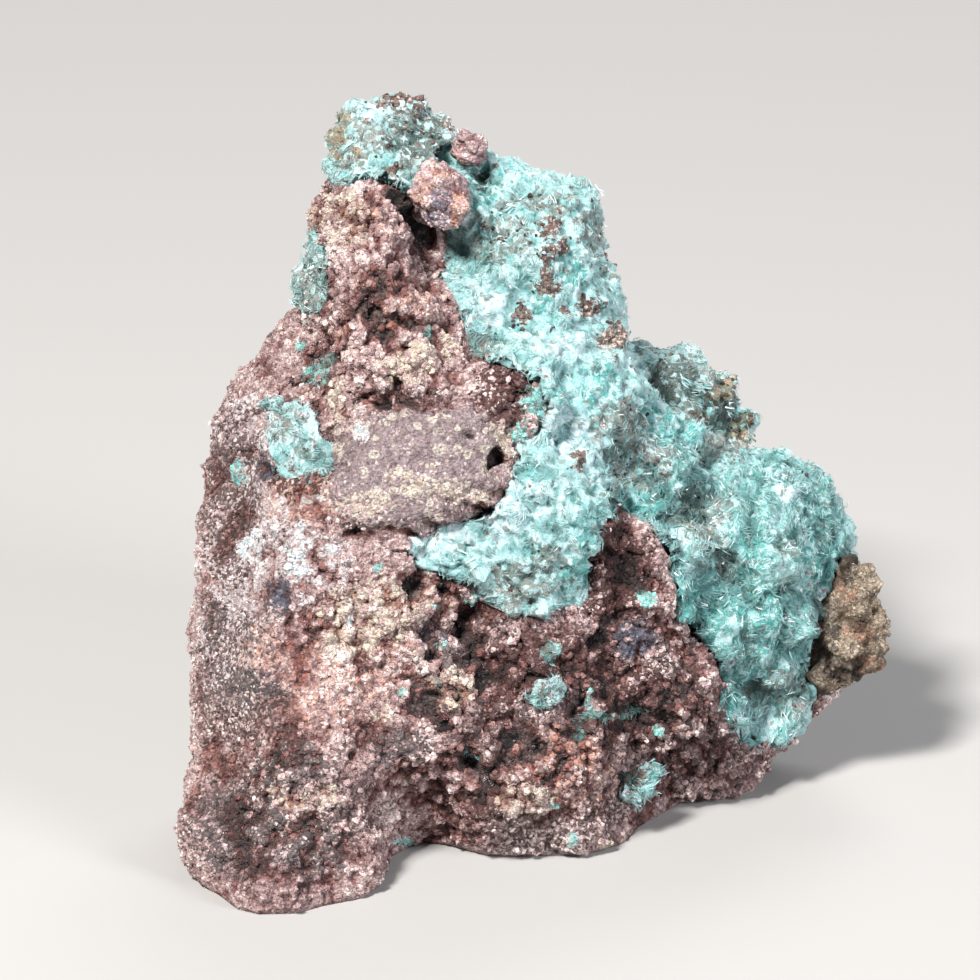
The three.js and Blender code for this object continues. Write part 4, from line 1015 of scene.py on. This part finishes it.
rock = skin_of("gossan_matrix", "gossan_ground", ROCK_SKIN, gossan_ground)
mark(rock, GROWTHS, mauve=MAUVE, umber=UMBER_AND_SHADE, cream=CREAM, orange=ORANGE, red=DEEP_RED, stain=GREY_STAIN,
     ink=INK, powder=WHITE_POWDER, teal=STRAY_TEAL, vug=VUGS, plate=PLATE, lumpy=LUMPY,
     knobbly=KNOBBLY, ledge=LEDGE, closed=CLOSED)
thin(rock, 0.5, back=0.7)
roughen(rock, [(2.0, 0.95, "lumpy"), (3.6, 0.4, "rough"), (0.95, 0.55, "knobbly"), (1.3, 0.35, "rough"),
               (0.5, 0.3, "rough")],
        swell=0.3, sinks=[("vug", 1.0), ("ledge", 0.6), ("plate", -0.3), ("closed", -0.7)], fill=SEAM * 0.6)
hand_over(rock, "gossan_matrix")

cover(rock, "display_face_grains", "gossan", grains, gossan_grains, 6.2, GRAIN, seed=21, sink=0.04,
      where={"away": -1.0, "bare": -2.0, "covered": -0.9, "vug": -0.5, "knobbly": -0.25})
cover(rock, "botryoidal_crumbs", "gossan", beads, gossan_grains, 6.4, (0.22, 0.64), seed=23,
      full=0.0, sink=0.06,
      where={"knobbly": 0.85, "lumpy": 0.2, "plate": -1.0, "bare": -2.0, "covered": -0.6, "vug": -0.6})
cover(rock, "side_and_back_grains", "gossan", grains, gossan_grains, 1.7, GRAIN, seed=25, full=0.0,
      sink=0.02, where={"away": 1.0, "bare": -2.0, "covered": -1.0})
cover(rock, "stray_needles", "aurichalcite", felt, crust_needles, 5.0, (0.35, 0.65), seed=31,
      full=-0.4, tilt=40, where={"teal": 1.8, "needle_rim": 0.9, "bare": -2.0, "covered": -1.0})

# ---------------------------------------------------------------- aurichalcite crust

crust = skin_of("aurichalcite_crust", "aurichalcite_ground", CRUST_SKIN, crust_ground)
mark(crust, ["gossan_matrix"], brown=BROWN_SPOTS, grey=GREY_FELT, white=WHITE_FELT, deep=DEEP_TEAL,
     coarse=COARSE, soot=SOOT_AND_SHADE, hollow=CRUST_HOLLOWS, glint=GLINTS, closed=CLOSED, tan=SUMMIT_TAN)
thin(crust, 0.5)
roughen(crust, [(3.0, 1.3, "coarse"), (1.4, 0.45, None), (0.7, 0.34, None), (0.45, 0.2, None)], swell=0.4,
        sinks=[("hollow", 0.9), ("coarse", -0.2), ("brown", -0.25), ("closed", -0.7)], fill=SEAM * 0.9)
hand_over(crust, "aurichalcite_crust")

cover(crust, "felted_needles", "aurichalcite", felt, crust_needles, 4.35, FELT_FAN, seed=41, tilt=18,
      sink=0.02, where={"brown": -1.1, "coarse": -0.3, "away": -0.45, "covered": -0.8})
cover(crust, "blade_fans", "aurichalcite", blades, crust_needles, 3.0, BLADE_FAN, seed=51, full=0.04,
      tilt=16, combed=3.2, sink=0.02,
      where={"coarse": 0.96, "brown": -1.0, "away": -0.03, "covered": -0.6})
cover(crust, "silvery_laths", "aurichalcite", laths, silvery, 6.0, (0.45, 1.25), seed=55, full=0.01,
      tilt=16, sink=0.04, where={"glint": 0.7, "coarse": 0.02, "covered": -1.0})
cover(crust, "grit_in_the_crust", "gossan", grains, umber_grit, 12.0, (0.16, 0.42), seed=61,
      full=0.003, where={"brown": 1.1, "grey": 0.1, "soot": 0.1, "covered": -1.0})
cover(crust, "grit_on_the_border", "gossan", grains, gossan_grains, 10.0, (0.14, 0.36), seed=65,
      full=-0.05, where={"grit_rim": 0.36, "covered": -1.0})

# ---------------------------------------------------------------- small growths

# Each growth's node, what it is made of, the least and greatest size of that, how far it is lowered
# in the open, and what it gains where it is bedded.
SMALL_GROWTHS = (
    ("left_aurichalcite_patch", felt, (0.45, 0.95), 0.2, SEAM * 0.9),
    ("column_aurichalcite_patch", felt, (0.45, 0.95), 0.1, SEAM * 0.9),
    ("upper_aurichalcite_fan", felt, (0.6, 1.1), 0.85, -0.35),
    ("lower_aurichalcite_fan", blades, (0.55, 1.1), 0.75, -0.3),
)
for node, shapes, size, shrink, fill in SMALL_GROWTHS:
    patch = skin_of(node, node + "_ground", SMALL_SKIN, crust_ground, smoothing=3)
    mark(patch, ["gossan_matrix"], white=WHITE_FELT + FAN_WHITE, deep=DEEP_TEAL + FAN_DEEP,
         grey=GREY_FELT + FAN_GREY, hollow=FAN_GAPS, brown=FAN_GAPS)
    roughen(patch, [(1.2, 0.5, None), (0.5, 0.2, None)], swell=0.5, sinks=[("hollow", 1.0)], fill=fill,
            shrink=shrink)
    tufts = scatter(patch, node + "_fans", shapes, crust_needles, 6.6, size, seed=71, tilt=14, combed=3.0,
                    sink=0.03, where={"covered": -0.5, "hollow": -1.2})
    grit = scatter(patch, node + "_grit", grains, gossan_grains, 14.0, (0.14, 0.3), seed=75, full=0.0,
                   where={"grit_rim": 1.3, "hollow": 1.3, "covered": -1.0})
    hand_over(join_on(patch, tufts, grit), node)

# The crest nodule is drawn in towards a point in its root, to stand clear of the crust round it.
CREST = (-0.6 * MM, 18.6 * MM, 44.9 * MM)
BESIDE = ["gossan_matrix", "aurichalcite_crust"]
for node, per_mm2, squash in (("summit_nodule", 10.0, 1.0), ("crest_nodule", 5.0, 0.64)):
    nodule = skin_of(node, node + "_ground", SMALL_SKIN, nodule_ground)
    mark(nodule, BESIDE, rust=NODULE_RUST, blue=NODULE_BLUE)
    roughen(nodule, [(1.5, 0.5, None), (0.6, 0.2, None)], swell=0.15, fill=SEAM * 0.7, shrink=0.15)
    edit_all()
    bpy.ops.transform.resize(value=(squash, squash, squash), orient_type="GLOBAL", center_override=CREST)
    bpy.ops.object.mode_set(mode="OBJECT")
    crumbs = scatter(nodule, node + "_grains", grains, nodule_grains, per_mm2, (0.12, 0.28), seed=81,
                     sink=0.02, where={"covered": -1.0})
    hand_over(join_on(nodule, crumbs), node)

knob = skin_of("ochre_knob", "ochre_knob_ground", KNOB_SKIN, ochre_ground)
mark(knob, BESIDE, rust=KNOB_RUST, soot=KNOB_DARK)
roughen(knob, [(2.6, 0.9, None), (1.0, 0.4, None), (0.5, 0.22, None)], swell=0.3, fill=SEAM * 0.9)
crumbs = scatter(knob, "ochre_knob_grains", grains, ochre_grains, 8.0, (0.14, 0.38), seed=91,
                 sink=0.02, where={"covered": -1.0})
hand_over(join_on(knob, crumbs), "ochre_knob")

druse = skin_of("rear_druse_lobe", "rear_druse_ground", DRUSE_SKIN, crust_ground)
# The deep, grey and darkest marks over the rear lobe are painted shade, darkening the whole lobe.
mark(druse, BESIDE, tan=DRUSE_TAN, deep=DRUSE_SHADE, grey=DRUSE_SHADE, soot=DRUSE_DARK_SHADE)
roughen(druse, [(2.2, 0.9, None), (0.9, 0.35, None)], swell=0.4, fill=SEAM * 0.9)
fans = scatter(druse, "rear_druse_fans", blades, crust_needles, 3.6, BLADE_FAN, seed=101, tilt=25,
               sink=0.04, where={"tan": -1.5, "covered": -1.0})
crumbs = scatter(druse, "rear_druse_grains", grains, ochre_grains, 5.0, (0.2, 0.5), seed=105, full=0.1,
                 sink=0.02, where={"tan": 1.0, "covered": -1.0})
hand_over(join_on(druse, fans, crumbs), "rear_druse_lobe")

# ---------------------------------------------------------------- the stage

# In metres: the floor, the middle of the specimen, and where each softbox stands and how wide it is,
# with its power in watts and its tint.
FLOOR_WIDTH = 4
MIDDLE = (0, 0.01, 0.022)
SOFTBOXES = {
    "key_softbox": ((-0.26, -0.40, 0.56), 0.14, 11.6, "#fffdfa"),
    "fill_softbox": ((0.45, -0.35, 0.25), 0.20, 3.2, "#f6f9ff"),
    "back_softbox": ((0.10, 0.50, 0.45), 0.30, 2.0, "#ffffff"),
}

# The glow of the room, and the camera, which looks square at the display face.
ROOM_GLOW = 0.13
CAMERA_PLACE = (0, -0.5209, 0.2155)
LENS = 300
SENSOR = 36

for used in (grains, beads, felt, blades, laths):
    for spare in list(used.objects):
        bpy.data.objects.remove(spare)
    bpy.data.collections.remove(used)
for spare in (felt_needle, blade):
    bpy.data.objects.remove(spare)

bpy.ops.object.select_all(action="DESELECT")
bpy.ops.mesh.primitive_plane_add(size=FLOOR_WIDTH)
floor = bpy.context.object
floor.name = "floor"
# Backdrop paper: uncoated and pressed flat. It looks pale and matt, so that the stone stands clear of it.
lay(floor, shader("matt_paper_backdrop", {"Base Color": colour("#a7a5a3"), "Roughness": 0.9})[0])

for name, (place, width, power, tint) in SOFTBOXES.items():
    bpy.ops.object.select_all(action="DESELECT")
    bpy.ops.object.light_add(type="AREA", location=place)
    lamp = bpy.context.object
    lamp.name = name
    lamp.data.size = width
    lamp.data.energy = power
    lamp.data.color = colour(tint)[:3]
    lamp.rotation_euler = (Vector(MIDDLE) - Vector(place)).to_track_quat("-Z", "Y").to_euler()

world = bpy.data.worlds.new("pale_room")
world.use_nodes = True
room = world.node_tree.nodes["Background"]
room.inputs["Color"].default_value = colour("#dfe3e8")
room.inputs["Strength"].default_value = ROOM_GLOW
bpy.context.scene.world = world
bpy.context.scene.view_settings.view_transform = "Standard"

bpy.ops.object.camera_add(location=CAMERA_PLACE, rotation=(math.pi / 2 - FACE_LEAN, 0, 0))
camera = bpy.context.object
camera.data.lens = LENS
camera.data.sensor_width = SENSOR
bpy.context.scene.camera = camera
